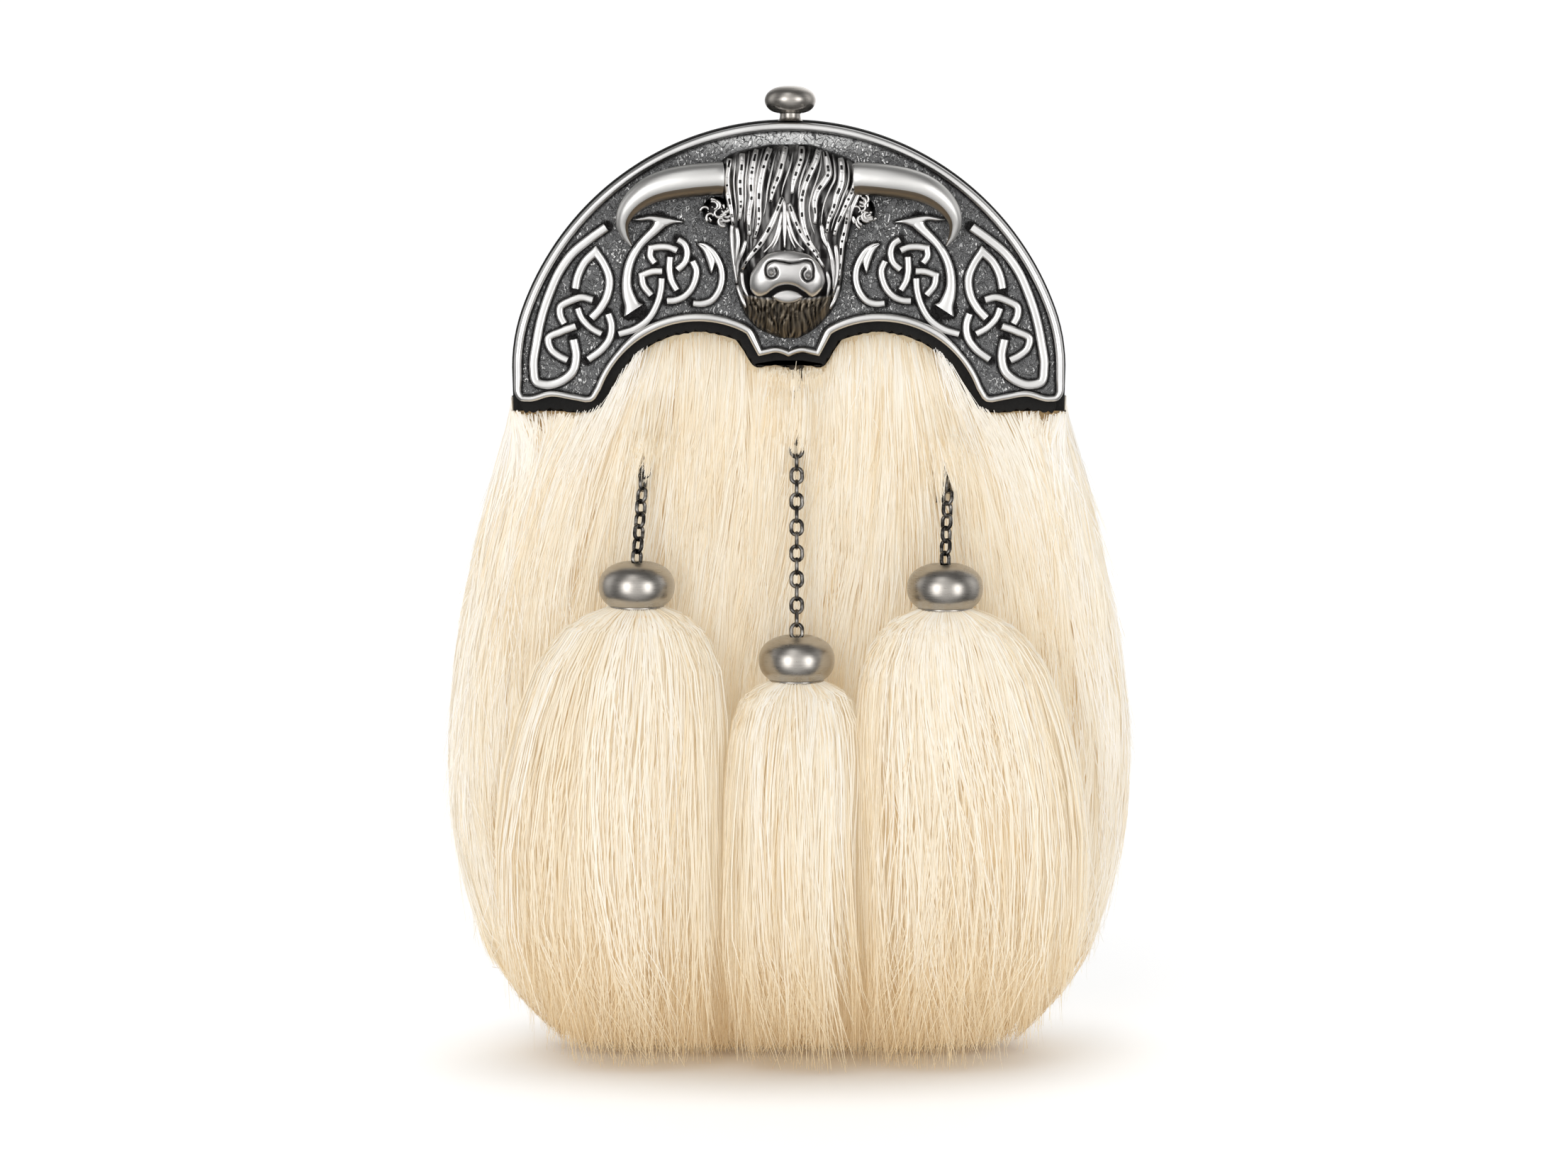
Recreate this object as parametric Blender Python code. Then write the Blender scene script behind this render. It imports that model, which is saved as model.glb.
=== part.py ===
"""A full-dress sporran: a leather pouch faced with long cream hair, under a cast pewter cantle
with interlace and a highland cow's head, with three hair tassels on chains.

Sizes are in millimetres and turned into metres when a mesh is made.
x runs to the viewer's right and z up from the floor that the hair stands on.
Depth runs backwards from the cantle's front face, and y is that depth moved so that the
whole object is centred. The cantle's relief is charted in points on a front view:
CHART_SPAN points cross the cantle's width.
"""

import math

import bmesh
import bpy
import numpy as np

for old in list(bpy.data.objects):
    bpy.data.objects.remove(old, do_unlink=True)

# ---------------------------------------------------------------- driving dimensions (mm)
MM = 0.001
GAP = 0.3  # between pieces that touch on the real thing

CANTLE_WIDTH = 170.0
CHART_SPAN = 776.0
CHART_AXIS = 1113.0  # the column of the symmetry axis
CHART_FOOT = 568.0  # the row of the cantle's feet
STEP = CANTLE_WIDTH / CHART_SPAN
FOOT_Z = 205.0

TOP_ARC = 398.0 * STEP  # the cantle's top, 70 degrees to each side
SIDE_ARC = 240.0 * STEP  # and its sides, the last 20 degrees
TOP_ARC_ROW = 573.0
SIDE_ARC_COLUMN = 964.5
SIDE_ARC_ROW = 519.0
ARCH_COLUMN = 985.0  # the arch over the hair, to the left of the middle
ARCH_ROW = 600.0
ARCH_RADIUS = 146.0 * STEP
ARCH_START = 164.0  # degrees
ARCH_END = 64.0

PLATE = 2.0
SLOPE = 1.0  # how far the flange leans out from the plate's front edge
FLANGE_DEPTH = 6.7
FLANGE_WALL = 1.5
RIM_HEIGHT = 1.5
RIM_WIDTH = 2.3
LOWER_RIM_WIDTH = 1.85
RIM_INSET = 0.9  # of the rim's line from the plate's lower edge
RIM_SIDE_RUN = 8.2  # how far the top rim runs down each foot's outer side
STRAND_HEIGHT = 1.2
HEIGHT_STEP = 0.02  # between one strand and the next, so that no two tops lie in one plane

LEATHER = 2.0
PANEL_FRONT = FLANGE_DEPTH + GAP
POUCH_DEPTH = 40.0
POUCH_OVERHANG = 1.0  # the leather stands this far outside the cantle
POUCH_LOW_HALF = 83.0
POUCH_CORNER = 45.0
POUCH_BOTTOM = 50.0

GUSSET_FRONT = PANEL_FRONT + LEATHER + GAP
GUSSET_BACK = PANEL_FRONT + LEATHER + POUCH_DEPTH
BACK_FRONT = GUSSET_BACK + GAP
BACK_BACK = BACK_FRONT + LEATHER
FLAP_FRONT = BACK_BACK + GAP

LOOP_GAP = 5.2
LOOP_BACK = FLAP_FRONT + LOOP_GAP + LEATHER
TASSEL_FRONT = -41.0  # the middle tassel's front
MIDDLE_DEPTH = (LOOP_BACK + TASSEL_FRONT) / 2.0


# ---------------------------------------------------------------- points and outlines
def chart(points):
    """Columns and rows of the chart as x and z."""
    points = np.asarray(points, dtype=float)
    x = (points[:, 0] - CHART_AXIS) * STEP
    z = FOOT_Z + (CHART_FOOT - points[:, 1]) * STEP
    return np.stack([x, z], axis=1)


def arc(centre, radius, start, end, steps):
    """Points on a circle, angles in degrees, anticlockwise from +x."""
    turn = np.radians(np.linspace(start, end, steps + 1))
    return np.stack([centre[0] + radius * np.cos(turn), centre[1] + radius * np.sin(turn)], axis=1)


def mirrored(points):
    """The same points on the other side, in the opposite order."""
    return (np.asarray(points) * [-1.0, 1.0])[::-1]


def dome(grow, top_steps=12, side_steps=2):
    """The cantle's top line from its left side over to its right, moved out by grow."""
    side_x, side_z = chart([(SIDE_ARC_COLUMN, SIDE_ARC_ROW)])[0]
    top_z = chart([(CHART_AXIS, TOP_ARC_ROW)])[0][1]
    left = arc((side_x, side_z), SIDE_ARC + grow, 180, 160, side_steps)
    top = arc((0.0, top_z), TOP_ARC + grow, 160, 20, top_steps)
    return np.concatenate([left, top[1:-1], mirrored(left)])


def arch(shrink, widen=0.0, steps=9):
    """The left arch over the hair, from the foot's tip towards the middle. It goes on past
    both ends by widen degrees."""
    centre = chart([(ARCH_COLUMN, ARCH_ROW)])[0]
    return arc(centre, ARCH_RADIUS - shrink, ARCH_START + widen, ARCH_END - widen, steps)


FOOT_EDGE = chart([(727, 556), (731, 563), (740, 567), (779, 560), (805, 564), (826, 568), (835, 566)])
NOTCH_EDGE = chart([(1055, 474), (1063, 490), (1070, 504), (1095, 498), (1113, 503)])
BACKING_FOOT = chart([(735, 576), (741, 583), (779, 577), (808, 582), (829, 581), (846, 574)])
BACKING_NOTCH = chart([(1046, 486), (1055, 502), (1065, 518), (1094, 513), (1113, 518)])


def closed_outline(top, lower):
    """Over the top from left to right, then back along a lower edge that is given on its left
    half, from the foot to the middle."""
    return np.concatenate([top, lower * [-1.0, 1.0], lower[:-1][::-1]])


def pouch_outline(grow=0.0, corner_steps=5):
    """The leather pouch from the front, moved out by grow."""
    corner = (POUCH_LOW_HALF - POUCH_CORNER, POUCH_BOTTOM + POUCH_CORNER)
    right = arc(corner, POUCH_CORNER + grow, 0, -90, corner_steps)
    return np.concatenate([dome(POUCH_OVERHANG + grow), right, mirrored(right)])


# ---------------------------------------------------------------- solids
def material(name, colour, roughness, metallic):
    made = bpy.data.materials.new(name)
    made.use_nodes = True
    shader = made.node_tree.nodes["Principled BSDF"]
    shader.inputs["Base Color"].default_value = (*colour, 1.0)
    shader.inputs["Roughness"].default_value = roughness
    shader.inputs["Metallic"].default_value = metallic
    return made


def solid(name, points, faces, finish, smooth=False):
    """One object from points (x, depth, z) in millimetres and closed faces."""
    points = np.asarray(points, dtype=float)
    place = np.stack([points[:, 0], points[:, 1] - MIDDLE_DEPTH, points[:, 2]], axis=1) * MM
    mesh = bpy.data.meshes.new(name)
    mesh.from_pydata(place.tolist(), [], faces)
    work = bmesh.new()
    work.from_mesh(mesh)
    bmesh.ops.recalc_face_normals(work, faces=work.faces)
    work.to_mesh(mesh)
    work.free()
    if smooth:
        mesh.shade_smooth()
        mesh.set_sharp_from_angle(angle=math.radians(40))
    mesh.materials.append(finish)
    made = bpy.data.objects.new(name, mesh)
    bpy.context.scene.collection.objects.link(made)
    return made


def loft(name, rings, finish, closed=False, smooth=False):
    """A solid through rings of equal length, capped at both ends unless it closes on itself."""
    rings = np.asarray(rings, dtype=float)
    count, size = rings.shape[:2]
    faces = []
    for k in range(count if closed else count - 1):
        low, high = k * size, (k + 1) % count * size
        for i in range(size):
            j = (i + 1) % size
            faces.append((low + i, low + j, high + j, high + i))
    if not closed:
        faces.append(tuple(range(size)))
        faces.append(tuple(range((count - 1) * size, count * size)))
    return solid(name, rings.reshape(-1, 3), faces, finish, smooth)


def at_depth(outline, depth):
    """An outline in x and z, as a ring at one depth."""
    return np.stack([outline[:, 0], np.full(len(outline), depth), outline[:, 1]], axis=1)


def slab(name, outline, front, back, finish):
    return loft(name, [at_depth(outline, front), at_depth(outline, back)], finish)


def lathe(name, centre, profile, sides, finish, closed=False):
    """A turned solid about a vertical line; profile rows are radius and height."""
    turn = np.arange(sides) * 2.0 * np.pi / sides
    circle = np.stack([np.cos(turn), np.sin(turn), np.zeros(sides)], axis=1)
    rings = [np.asarray(centre) + circle * radius + [0.0, 0.0, height] for radius, height in profile]
    return loft(name, rings, finish, closed, smooth=True)


def pin(name, x, z, profile, sides, finish):
    """A turned solid about a line that runs backwards; profile rows are radius and depth."""
    turn = np.arange(sides) * 2.0 * np.pi / sides + np.pi / sides
    circle = np.stack([np.cos(turn), np.zeros(sides), np.sin(turn)], axis=1)
    rings = [circle * radius + [x, depth, z] for radius, depth in profile]
    return loft(name, rings, finish, smooth=True)


SUNK = 0.5  # depth of a strand's foot below the face it stands on


def ridge(name, path, widths, height, finish, foot_width=1.35):
    """A raised strand on the plate along a path in x and z. Its section is a low gable whose
    foot is sunk into the plate and foot_width times as wide as the strand."""
    path = np.asarray(path, dtype=float)
    widths = np.broadcast_to(np.asarray(widths, dtype=float), len(path))
    along = np.gradient(path, axis=0)
    along /= np.linalg.norm(along, axis=1)[:, None]
    across = np.stack([-along[:, 1], along[:, 0]], axis=1)
    rings = []
    for (x, z), (side_x, side_z) in zip(path, across * widths[:, None] / 2.0 * foot_width):
        left, right = (x - side_x, SUNK, z - side_z), (x + side_x, SUNK, z + side_z)
        rings.append([left, (x, -height, z), right])
    return loft(name, rings, finish)


def boolean(target, operation, tools):
    """Joins tools to target or cuts them from it."""
    group = bpy.data.collections.new(f"{target.name}_{operation.lower()}")
    bpy.context.scene.collection.children.link(group)
    for tool in tools:
        bpy.context.scene.collection.objects.unlink(tool)
        group.objects.link(tool)
        tool.hide_render = True
        tool.display_type = "WIRE"
    step = target.modifiers.new(operation.title(), "BOOLEAN")
    step.operation = operation
    step.solver = "EXACT"
    step.operand_type = "COLLECTION"
    step.collection = group


PEWTER = material("antique_pewter", (0.36, 0.36, 0.37), 0.38, 1.0)
DARK_PEWTER = material("dark_pewter", (0.22, 0.21, 0.20), 0.42, 1.0)
STEEL = material("satin_steel", (0.55, 0.54, 0.52), 0.28, 1.0)
GUNMETAL = material("gunmetal", (0.12, 0.12, 0.12), 0.35, 1.0)
BLACK_LEATHER = material("black_leather", (0.015, 0.014, 0.014), 0.55, 0.0)
CREAM_HAIR = material("cream_hair", (0.82, 0.72, 0.53), 0.60, 0.0)


# ---------------------------------------------------------------- cantle
# Each strand of the left half: its width in chart points, then its line as (column, row).
# A third value in a row is the strand's own width there.
STRANDS = {
    "ring_outer": (9, [(977, 428), (990, 429), (1003, 425), (1014, 412), (1019, 395), (1018, 380),
                       (1012, 365, 13), (1002, 352, 12), (984, 345, 2)]),
    "ring_barb": (8, [(1010, 362, 16), (1006, 374, 8), (1002, 386, 2)]),
    "ring_inner": (9, [(940, 425), (953, 424), (965, 419), (975, 409), (981, 396), (983, 383), (977, 368)]),
    "bar": (8, [(946, 362), (945, 380), (948, 397), (956, 411)]),
    "hook": (8, [(956, 338), (966, 345), (970, 357), (967, 370), (955, 382)]),
    "corner_top": (8, [(957, 355), (946, 350), (932, 349), (918, 352), (918, 362), (925, 373)]),
    "corner_low": (8, [(936, 383), (920, 384), (906, 390), (908, 402), (920, 418)]),
    "tail": (9, [(934, 392), (933, 408), (927, 430), (915, 450), (896, 464), (872, 472)]),
    "leaf_stem": (13, [(892, 438, 24), (886, 418, 18), (885, 398, 15), (889, 372), (899, 354), (913, 336),
                       (925, 323, 14), (935, 312, 16)]),
    "leaf_bar": (8, [(893, 311, 3), (912, 308, 7), (932, 311, 14), (948, 312, 9), (964, 314, 2)]),
    "sweep": (12, [(857, 321), (833, 338), (807, 360), (791, 382), (777, 412), (765, 447), (757, 485),
                   (753, 520), (757, 539), (772, 543), (793, 537), (808, 524), (813, 505), (809, 478)]),
    "pointed_loop": (10, [(813, 409), (816, 390), (827, 368), (840, 357, 14), (850, 372, 12), (859, 395, 12),
                          (857, 418), (847, 436), (834, 450)]),
    "link_top": (10, [(838, 424), (821, 420), (805, 425), (791, 434), (791, 446), (797, 458)]),
    "link_side": (9, [(815, 434), (821, 449), (834, 463), (850, 472)]),
    "link_low": (10, [(814, 460), (792, 468), (774, 478), (777, 492), (788, 502), (802, 509)]),
    "hanging": (10, [(858, 442), (863, 458), (861, 476), (850, 492), (829, 508)]),
}


def strand_table(rows, width):
    line = chart([row[:2] for row in rows])
    widths = np.array([row[2] if len(row) > 2 else width for row in rows], dtype=float) * STEP
    return line, widths


def rim_lines():
    """The raised rim's lines on the left half: round the top, along the foot, the arch and the notch."""
    top = dome(-SLOPE - RIM_WIDTH / 2.0 - 0.1)
    side = top[:1] - [0.0, RIM_SIDE_RUN]
    return {
        "rim_top": np.concatenate([side, top, mirrored(side)]),
        "rim_foot": FOOT_EDGE[1:] + [RIM_INSET / 2.0, RIM_INSET],
        "rim_arch": arch(-RIM_INSET, widen=3.0),
        "rim_notch": NOTCH_EDGE + [RIM_INSET / 3.0, RIM_INSET],
    }


def make_cantle():
    """A plate with a sloping edge and a flange, with the rim and the strands joined to its face
    and the space for the backing cut out behind it."""
    lower = np.concatenate([FOOT_EDGE, arch(0.0), NOTCH_EDGE])
    face = closed_outline(dome(-SLOPE), lower)
    full = closed_outline(dome(0.0), lower)
    rings = [at_depth(face, 0.0), at_depth(full, PLATE), at_depth(full, FLANGE_DEPTH)]
    plate = loft("cantle", rings, PEWTER)
    relief = []
    for index, (name, line) in enumerate(rim_lines().items()):
        height = RIM_HEIGHT - 1.5 * HEIGHT_STEP * index
        if name == "rim_top":
            relief.append(ridge(name, line, RIM_WIDTH, height, PEWTER, 1.0))
            continue
        relief.append(ridge(name, line, LOWER_RIM_WIDTH, height, PEWTER, 1.0))
        other_height = height - HEIGHT_STEP / 2.0
        relief.append(ridge(name + "_right", mirrored(line), LOWER_RIM_WIDTH, other_height, PEWTER, 1.0))
    for index, (name, (width, rows)) in enumerate(STRANDS.items()):
        line, widths = strand_table(rows, width)
        height = STRAND_HEIGHT - HEIGHT_STEP * index
        relief.append(ridge(name, line, widths, height, PEWTER))
        relief.append(ridge(name + "_right", mirrored(line), widths[::-1], height, PEWTER))
    boolean(plate, "UNION", relief)

    inner = dome(-FLANGE_WALL)
    low = FOOT_Z - 20.0
    pocket_outline = np.concatenate([[(inner[0][0], low)], inner, [(inner[-1][0], low)]])
    pocket = slab("cantle_pocket", pocket_outline, PLATE, FLANGE_DEPTH + 5.0, PEWTER)
    boolean(plate, "DIFFERENCE", [pocket])
    return plate


# ---------------------------------------------------------------- cow's head
# Rows down the face: row on the chart, left and right edge, relief of the middle, and how
# deep the grooves between the locks are.
HEAD_ROWS = [
    # row, left, right, relief, groove
    (207, 1082, 1146, 2.0, 0.2),
    (214, 1050, 1166, 4.0, 0.7),
    (226, 1021, 1192, 5.6, 0.9),
    (244, 1017, 1209, 7.0, 1.0),
    (270, 1019, 1213, 7.9, 1.0),
    (305, 1024, 1200, 8.5, 1.0),
    (338, 1028, 1196, 9.0, 0.8),
    (356, 1030, 1194, 9.6, 0.5),
    (372, 1032, 1192, 10.6, 0.2),
    (392, 1035, 1190, 11.0, 0.0),
    (410, 1037, 1187, 10.4, 0.0),
    (420, 1040, 1184, 8.8, 0.0),
    (434, 1044, 1177, 8.2, 0.5),
    (452, 1056, 1163, 6.8, 0.6),
    (468, 1076, 1144, 4.6, 0.5),
    (476, 1098, 1128, 2.4, 0.2),
]
HEAD_BACK = -GAP
HEAD_COLUMNS = 15
HEAD_EDGE = 1.6  # relief at the head's outline
HORN_SIDES = 6
HORN = [
    # column, row, depth of the middle, radius
    (1040, 257, -5.3, 4.6),
    (1010, 257, -5.2, 4.5),
    (975, 258, -5.1, 4.3),
    (945, 261, -5.0, 4.0),
    (920, 269, -5.0, 3.6),
    (900, 282, -4.9, 3.0),
    (886, 298, -4.7, 2.3),
    (880, 316, -4.4, 1.8),
    (884, 333, -4.0, 1.1),
    (894, 346, -3.6, 0.4),
]
EAR_MIDDLE = (1012, 299)
EAR_PROFILE = [
    # radius, depth
    (1.9, -5.6), (4.0, -4.0), (4.0, -2.2), (1.7, -0.4),
]


def make_head():
    """A relief on rows and columns, with a flat back, then horns and ears joined to it."""
    across = np.linspace(-1.0, 1.0, HEAD_COLUMNS)
    bulge = (1.0 - np.abs(across) ** 2.6) ** 0.6
    rings = []
    for row, left, right, relief, groove in HEAD_ROWS:
        (x0, z), (x1, _) = chart([(left, row), (right, row)])
        x = (x0 + x1) / 2.0 + across * (x1 - x0) / 2.0
        height = HEAD_EDGE + (relief - HEAD_EDGE) * bulge
        height[1::2] -= groove
        front = np.stack([x, -height, np.full(HEAD_COLUMNS, z)], axis=1)
        back = np.array([(x1, HEAD_BACK, z), (x0, HEAD_BACK, z)])
        rings.append(np.concatenate([front, back]))
    head = loft("cow_head", rings, DARK_PEWTER)

    extra = []
    rows = np.array(HORN)
    for side in (-1, 1):
        line = chart(rows[:, :2]) * [-side, 1]
        extra.append(horn(f"horn_{side}", line, rows[:, 2], rows[:, 3]))
        x, z = chart([EAR_MIDDLE])[0] * [-side, 1]
        extra.append(pin(f"ear_{side}", x, z, EAR_PROFILE, 8, DARK_PEWTER))
    boolean(head, "UNION", extra)
    return head


def horn(name, line, depths, radii):
    """A tapered tube along a line in x and z, with a depth and a radius at each point."""
    middle = np.stack([line[:, 0], depths, line[:, 1]], axis=1)
    along = np.gradient(middle, axis=0)
    along /= np.linalg.norm(along, axis=1)[:, None]
    backward = np.array([0.0, 1.0, 0.0])
    side = np.cross(along, backward)
    side /= np.linalg.norm(side, axis=1)[:, None]
    out = np.cross(side, along)
    turn = (np.arange(HORN_SIDES) + 0.5) * 2.0 * np.pi / HORN_SIDES
    rings = []
    for k, radius in enumerate(radii):
        ring = np.outer(np.cos(turn), side[k]) + np.outer(np.sin(turn), out[k])
        rings.append(middle[k] + radius * ring)
    return loft(name, rings, DARK_PEWTER, smooth=True)


# ---------------------------------------------------------------- knob
KNOB_CHART = (1115, 174)
KNOB_DEPTH = FLANGE_DEPTH / 2.0
KNOB_PROFILE = [
    # radius, height over the flange
    (3.9, 0.0), (3.5, 0.5), (3.25, 1.2), (3.25, 2.3), (4.3, 2.5), (6.0, 3.1),
    (7.4, 4.5), (7.9, 6.2), (7.2, 8.2), (5.2, 9.9), (2.0, 10.7),
]


def make_knob():
    x, top = chart([KNOB_CHART])[0]
    return lathe("top_knob", (x, KNOB_DEPTH, top + GAP), KNOB_PROFILE, 10, STEEL)


# ---------------------------------------------------------------- leather
BACKING_INSET = FLANGE_WALL + GAP
BACKING_SHOWS = 2.9  # width of the backing that shows under the arch
HAIR_CLEARANCE = 0.45  # of the hair from the backing
MOUTH_HALF = 55.0
MOUTH_LOW = 160.0
MOUTH_HIGH = 195.0
FLAP_HALF = 62.0
FLAP_TOP = 206.0
FLAP_LOW = 130.0
FLAP_CORNER = 24.0
STUD_Z = 142.0
STUD_SHANK = 2.0
STUD_HOLE = 2.5
LOOP_X = 42.0
LOOP_WIDTH = 20.0
LOOP_LOW = 214.0
LOOP_HIGH = 262.0


def backing_lower(grow=0.0):
    """The backing's lower edge on the left half, moved into the hair by grow."""
    foot = BACKING_FOOT + [0.6 * grow, -grow]
    notch = BACKING_NOTCH + [-0.7 * grow, -grow]
    notch[-1, 0] = 0.0
    return np.concatenate([foot, arch(BACKING_SHOWS + grow, widen=1.0), notch])


def make_backing():
    outline = closed_outline(dome(-BACKING_INSET), backing_lower())
    return slab("cantle_backing", outline, PLATE + GAP, FLANGE_DEPTH, BLACK_LEATHER)


def make_pouch():
    slab("pouch_front", pouch_outline(), PANEL_FRONT, PANEL_FRONT + LEATHER, BLACK_LEATHER)
    outer, inner = pouch_outline(), pouch_outline(-LEATHER)
    rings = [
        at_depth(outer, GUSSET_FRONT), at_depth(outer, GUSSET_BACK),
        at_depth(inner, GUSSET_BACK), at_depth(inner, GUSSET_FRONT),
    ]
    loft("gusset", rings, BLACK_LEATHER, closed=True)

    back = slab("back_panel", pouch_outline(), BACK_FRONT, BACK_BACK, BLACK_LEATHER)
    corners = [(-1.0, MOUTH_LOW), (1.0, MOUTH_LOW), (1.0, MOUTH_HIGH), (-1.0, MOUTH_HIGH)]
    outline = np.array(corners) * [MOUTH_HALF, 1.0]
    mouth = slab("mouth_cut", outline, BACK_FRONT - 1.0, BACK_BACK + 1.0, BLACK_LEATHER)
    boolean(back, "DIFFERENCE", [mouth])


def make_flap():
    corner = arc((FLAP_HALF - FLAP_CORNER, FLAP_LOW + FLAP_CORNER), FLAP_CORNER, 0, -90, 5)
    outline = np.concatenate([[(-FLAP_HALF, FLAP_TOP), (FLAP_HALF, FLAP_TOP)], corner, mirrored(corner)])
    flap = slab("back_flap", outline, FLAP_FRONT, FLAP_FRONT + LEATHER, BLACK_LEATHER)
    hole = [(STUD_HOLE, FLAP_FRONT - 1.0), (STUD_HOLE, FLAP_FRONT + LEATHER + 1.0)]
    boolean(flap, "DIFFERENCE", [pin("stud_hole", 0.0, STUD_Z, hole, 12, BLACK_LEATHER)])
    head = FLAP_FRONT + LEATHER + GAP
    profile = [
        (STUD_SHANK, BACK_BACK + GAP), (STUD_SHANK, head), (4.2, head), (4.4, head + 0.9), (2.6, head + 2.1),
    ]
    pin("flap_stud", 0.0, STUD_Z, profile, 12, STEEL)


def make_belt_loops():
    """Each loop is a strap with both ends sewn to the back and its middle standing off it."""
    inner = FLAP_FRONT + LOOP_GAP
    side = np.array([
        # depth, z
        (FLAP_FRONT, LOOP_LOW), (FLAP_FRONT + LEATHER, LOOP_LOW),
        (FLAP_FRONT + LEATHER, LOOP_LOW + 7.0), (LOOP_BACK, LOOP_LOW + 9.5),
        (LOOP_BACK, LOOP_HIGH - 9.5), (FLAP_FRONT + LEATHER, LOOP_HIGH - 7.0),
        (FLAP_FRONT + LEATHER, LOOP_HIGH), (FLAP_FRONT, LOOP_HIGH),
        (FLAP_FRONT, LOOP_HIGH - 8.5), (inner, LOOP_HIGH - 11.0),
        (inner, LOOP_LOW + 11.0), (FLAP_FRONT, LOOP_LOW + 8.5),
    ])
    for name, middle in (("belt_loop_left", -LOOP_X), ("belt_loop_right", LOOP_X)):
        rings = [
            np.stack([np.full(len(side), middle + edge), side[:, 0], side[:, 1]], axis=1)
            for edge in (-LOOP_WIDTH / 2.0, LOOP_WIDTH / 2.0)
        ]
        loft(name, rings, BLACK_LEATHER)


# ---------------------------------------------------------------- fur
# Locks of hair over the front, sides and underside.
FUR_SHAPE = np.array([
    # z, half width, front depth, back depth
    (0.0, 70.0, -0.5, 37.0),
    (9.0, 78.0, -2.5, 41.0),
    (26.0, 92.0, -4.0, 44.0),
    (45.0, 99.5, -4.5, 45.0),
    (66.0, 104.7, -4.5, 45.0),
    (92.0, 107.0, -4.5, 45.0),
    (120.0, 105.0, -4.5, 45.0),
    (145.0, 101.0, -4.5, 44.0),
    (166.0, 96.5, -3.8, 43.0),
    (185.0, 91.5, -2.2, 42.0),
    (199.0, 88.6, -0.6, 41.0),
    (201.0, 84.0, -0.4, 40.0),
    (214.0, 80.0, 1.2, 38.0),
    (232.0, 76.0, 3.4, 36.0),
])
FUR_LEVELS = (0.0, 9.0, 26.0, 43.0, 60.0, 77.0, 92.0, 109.0, 126.0, 143.0, 160.0, 177.0, 190.0, 199.0, 201.0,
              214.0, 232.0)
LOCK_HEIGHT = 34.0  # after which the locks stand where the grooves were
FUR_MIDDLE = 15.0  # depth at which the fur is widest
FUR_POINTS = 40
FUR_GROOVE = 2.4
FUR_POWER = 3.2


def even(loop, count):
    """A closed loop's points set at equal distances."""
    ends = np.concatenate([loop, loop[:1]])
    length = np.concatenate([[0.0], np.cumsum(np.linalg.norm(np.diff(ends, axis=0), axis=1))])
    wanted = np.arange(count) * length[-1] / count
    return np.stack([np.interp(wanted, length, ends[:, k]) for k in range(2)], axis=1)


def fur_section(half, front, back, shift):
    """A superellipse in x and depth, with every other point drawn in as a groove. Shift moves
    the grooves: at 1 they have changed places with the locks."""
    turn = np.linspace(-np.pi / 2, 1.5 * np.pi, 720, endpoint=False)
    reach = np.where(np.sin(turn) < 0, FUR_MIDDLE - front, back - FUR_MIDDLE)
    x = half * np.sign(np.cos(turn)) * np.abs(np.cos(turn)) ** (2.0 / FUR_POWER)
    depth = reach * np.sign(np.sin(turn)) * np.abs(np.sin(turn)) ** (2.0 / FUR_POWER)
    points = even(np.stack([x, depth], axis=1), FUR_POINTS)
    size = np.linalg.norm(points, axis=1, keepdims=True)
    groove = FUR_GROOVE * (0.5 - 0.5 * np.cos(np.pi * (np.arange(FUR_POINTS) + shift)))[:, None]
    return points * (1.0 - groove / size) + [0.0, FUR_MIDDLE]


def make_fur(posts):
    rings = []
    widest = FUR_SHAPE[np.argmax(FUR_SHAPE[:, 1]), 0]
    for z in FUR_LEVELS:
        half, front, back = (np.interp(z, FUR_SHAPE[:, 0], FUR_SHAPE[:, k]) for k in (1, 2, 3))
        section = fur_section(half, front, back, (z - widest) / LOCK_HEIGHT)
        rings.append(np.stack([section[:, 0], section[:, 1], np.full(FUR_POINTS, z)], axis=1))
    fur = loft("fur_front", rings, CREAM_HAIR)

    pouch_room = slab("pouch_room", pouch_outline(GAP), FLANGE_DEPTH, 80.0, CREAM_HAIR)
    lower = backing_lower(HAIR_CLEARANCE)
    high, wide, low = 320.0, 120.0, lower[0][1]
    corners = np.array([(-wide, low), (-wide, high), (wide, high), (wide, low)])
    cantle_room = slab("cantle_room", closed_outline(corners, lower), -40.0, FLANGE_DEPTH + 0.5, CREAM_HAIR)
    holes = [
        pin(f"post_hole_{k}", x, z, [(POST_HOLE, -30.0), (POST_HOLE, FLANGE_DEPTH + 1.0)], 8, CREAM_HAIR)
        for k, (x, z) in enumerate(posts)
    ]
    boolean(fur, "DIFFERENCE", [pouch_room, cantle_room, *holes])
    return fur


# ---------------------------------------------------------------- tassels on chains
WIRE = 0.47
LINK_LENGTH = 5.65
LINK_WIDTH = 4.4
LINK_PITCH = 4.0
LINK_ROUND = 10
WIRE_SIDES = 5
POST_RADIUS = 0.8
POST_HOLE = 1.3
POST_HEAD = 1.9

CAP_RADIUS = 11.65
CAP_RISE = 7.9
CAP_WALL = 1.0
CAP_MOUTH = -6.1  # height of the lower rim from the cap's middle
CAP_LIP = 6.6  # radius of the mouth
CAP_HOLE = 3.0
CAP_DEPTH = -16.7
NECK_RADIUS = 6.0
NECK_TOP = 1.5
NECK_LOW = -6.4
CHAIN_END = 3.1  # the last link's middle hangs this far below the cap's hole
SIDE_TWIST = math.radians(45.0)  # of the side chains, from their third link down

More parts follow.
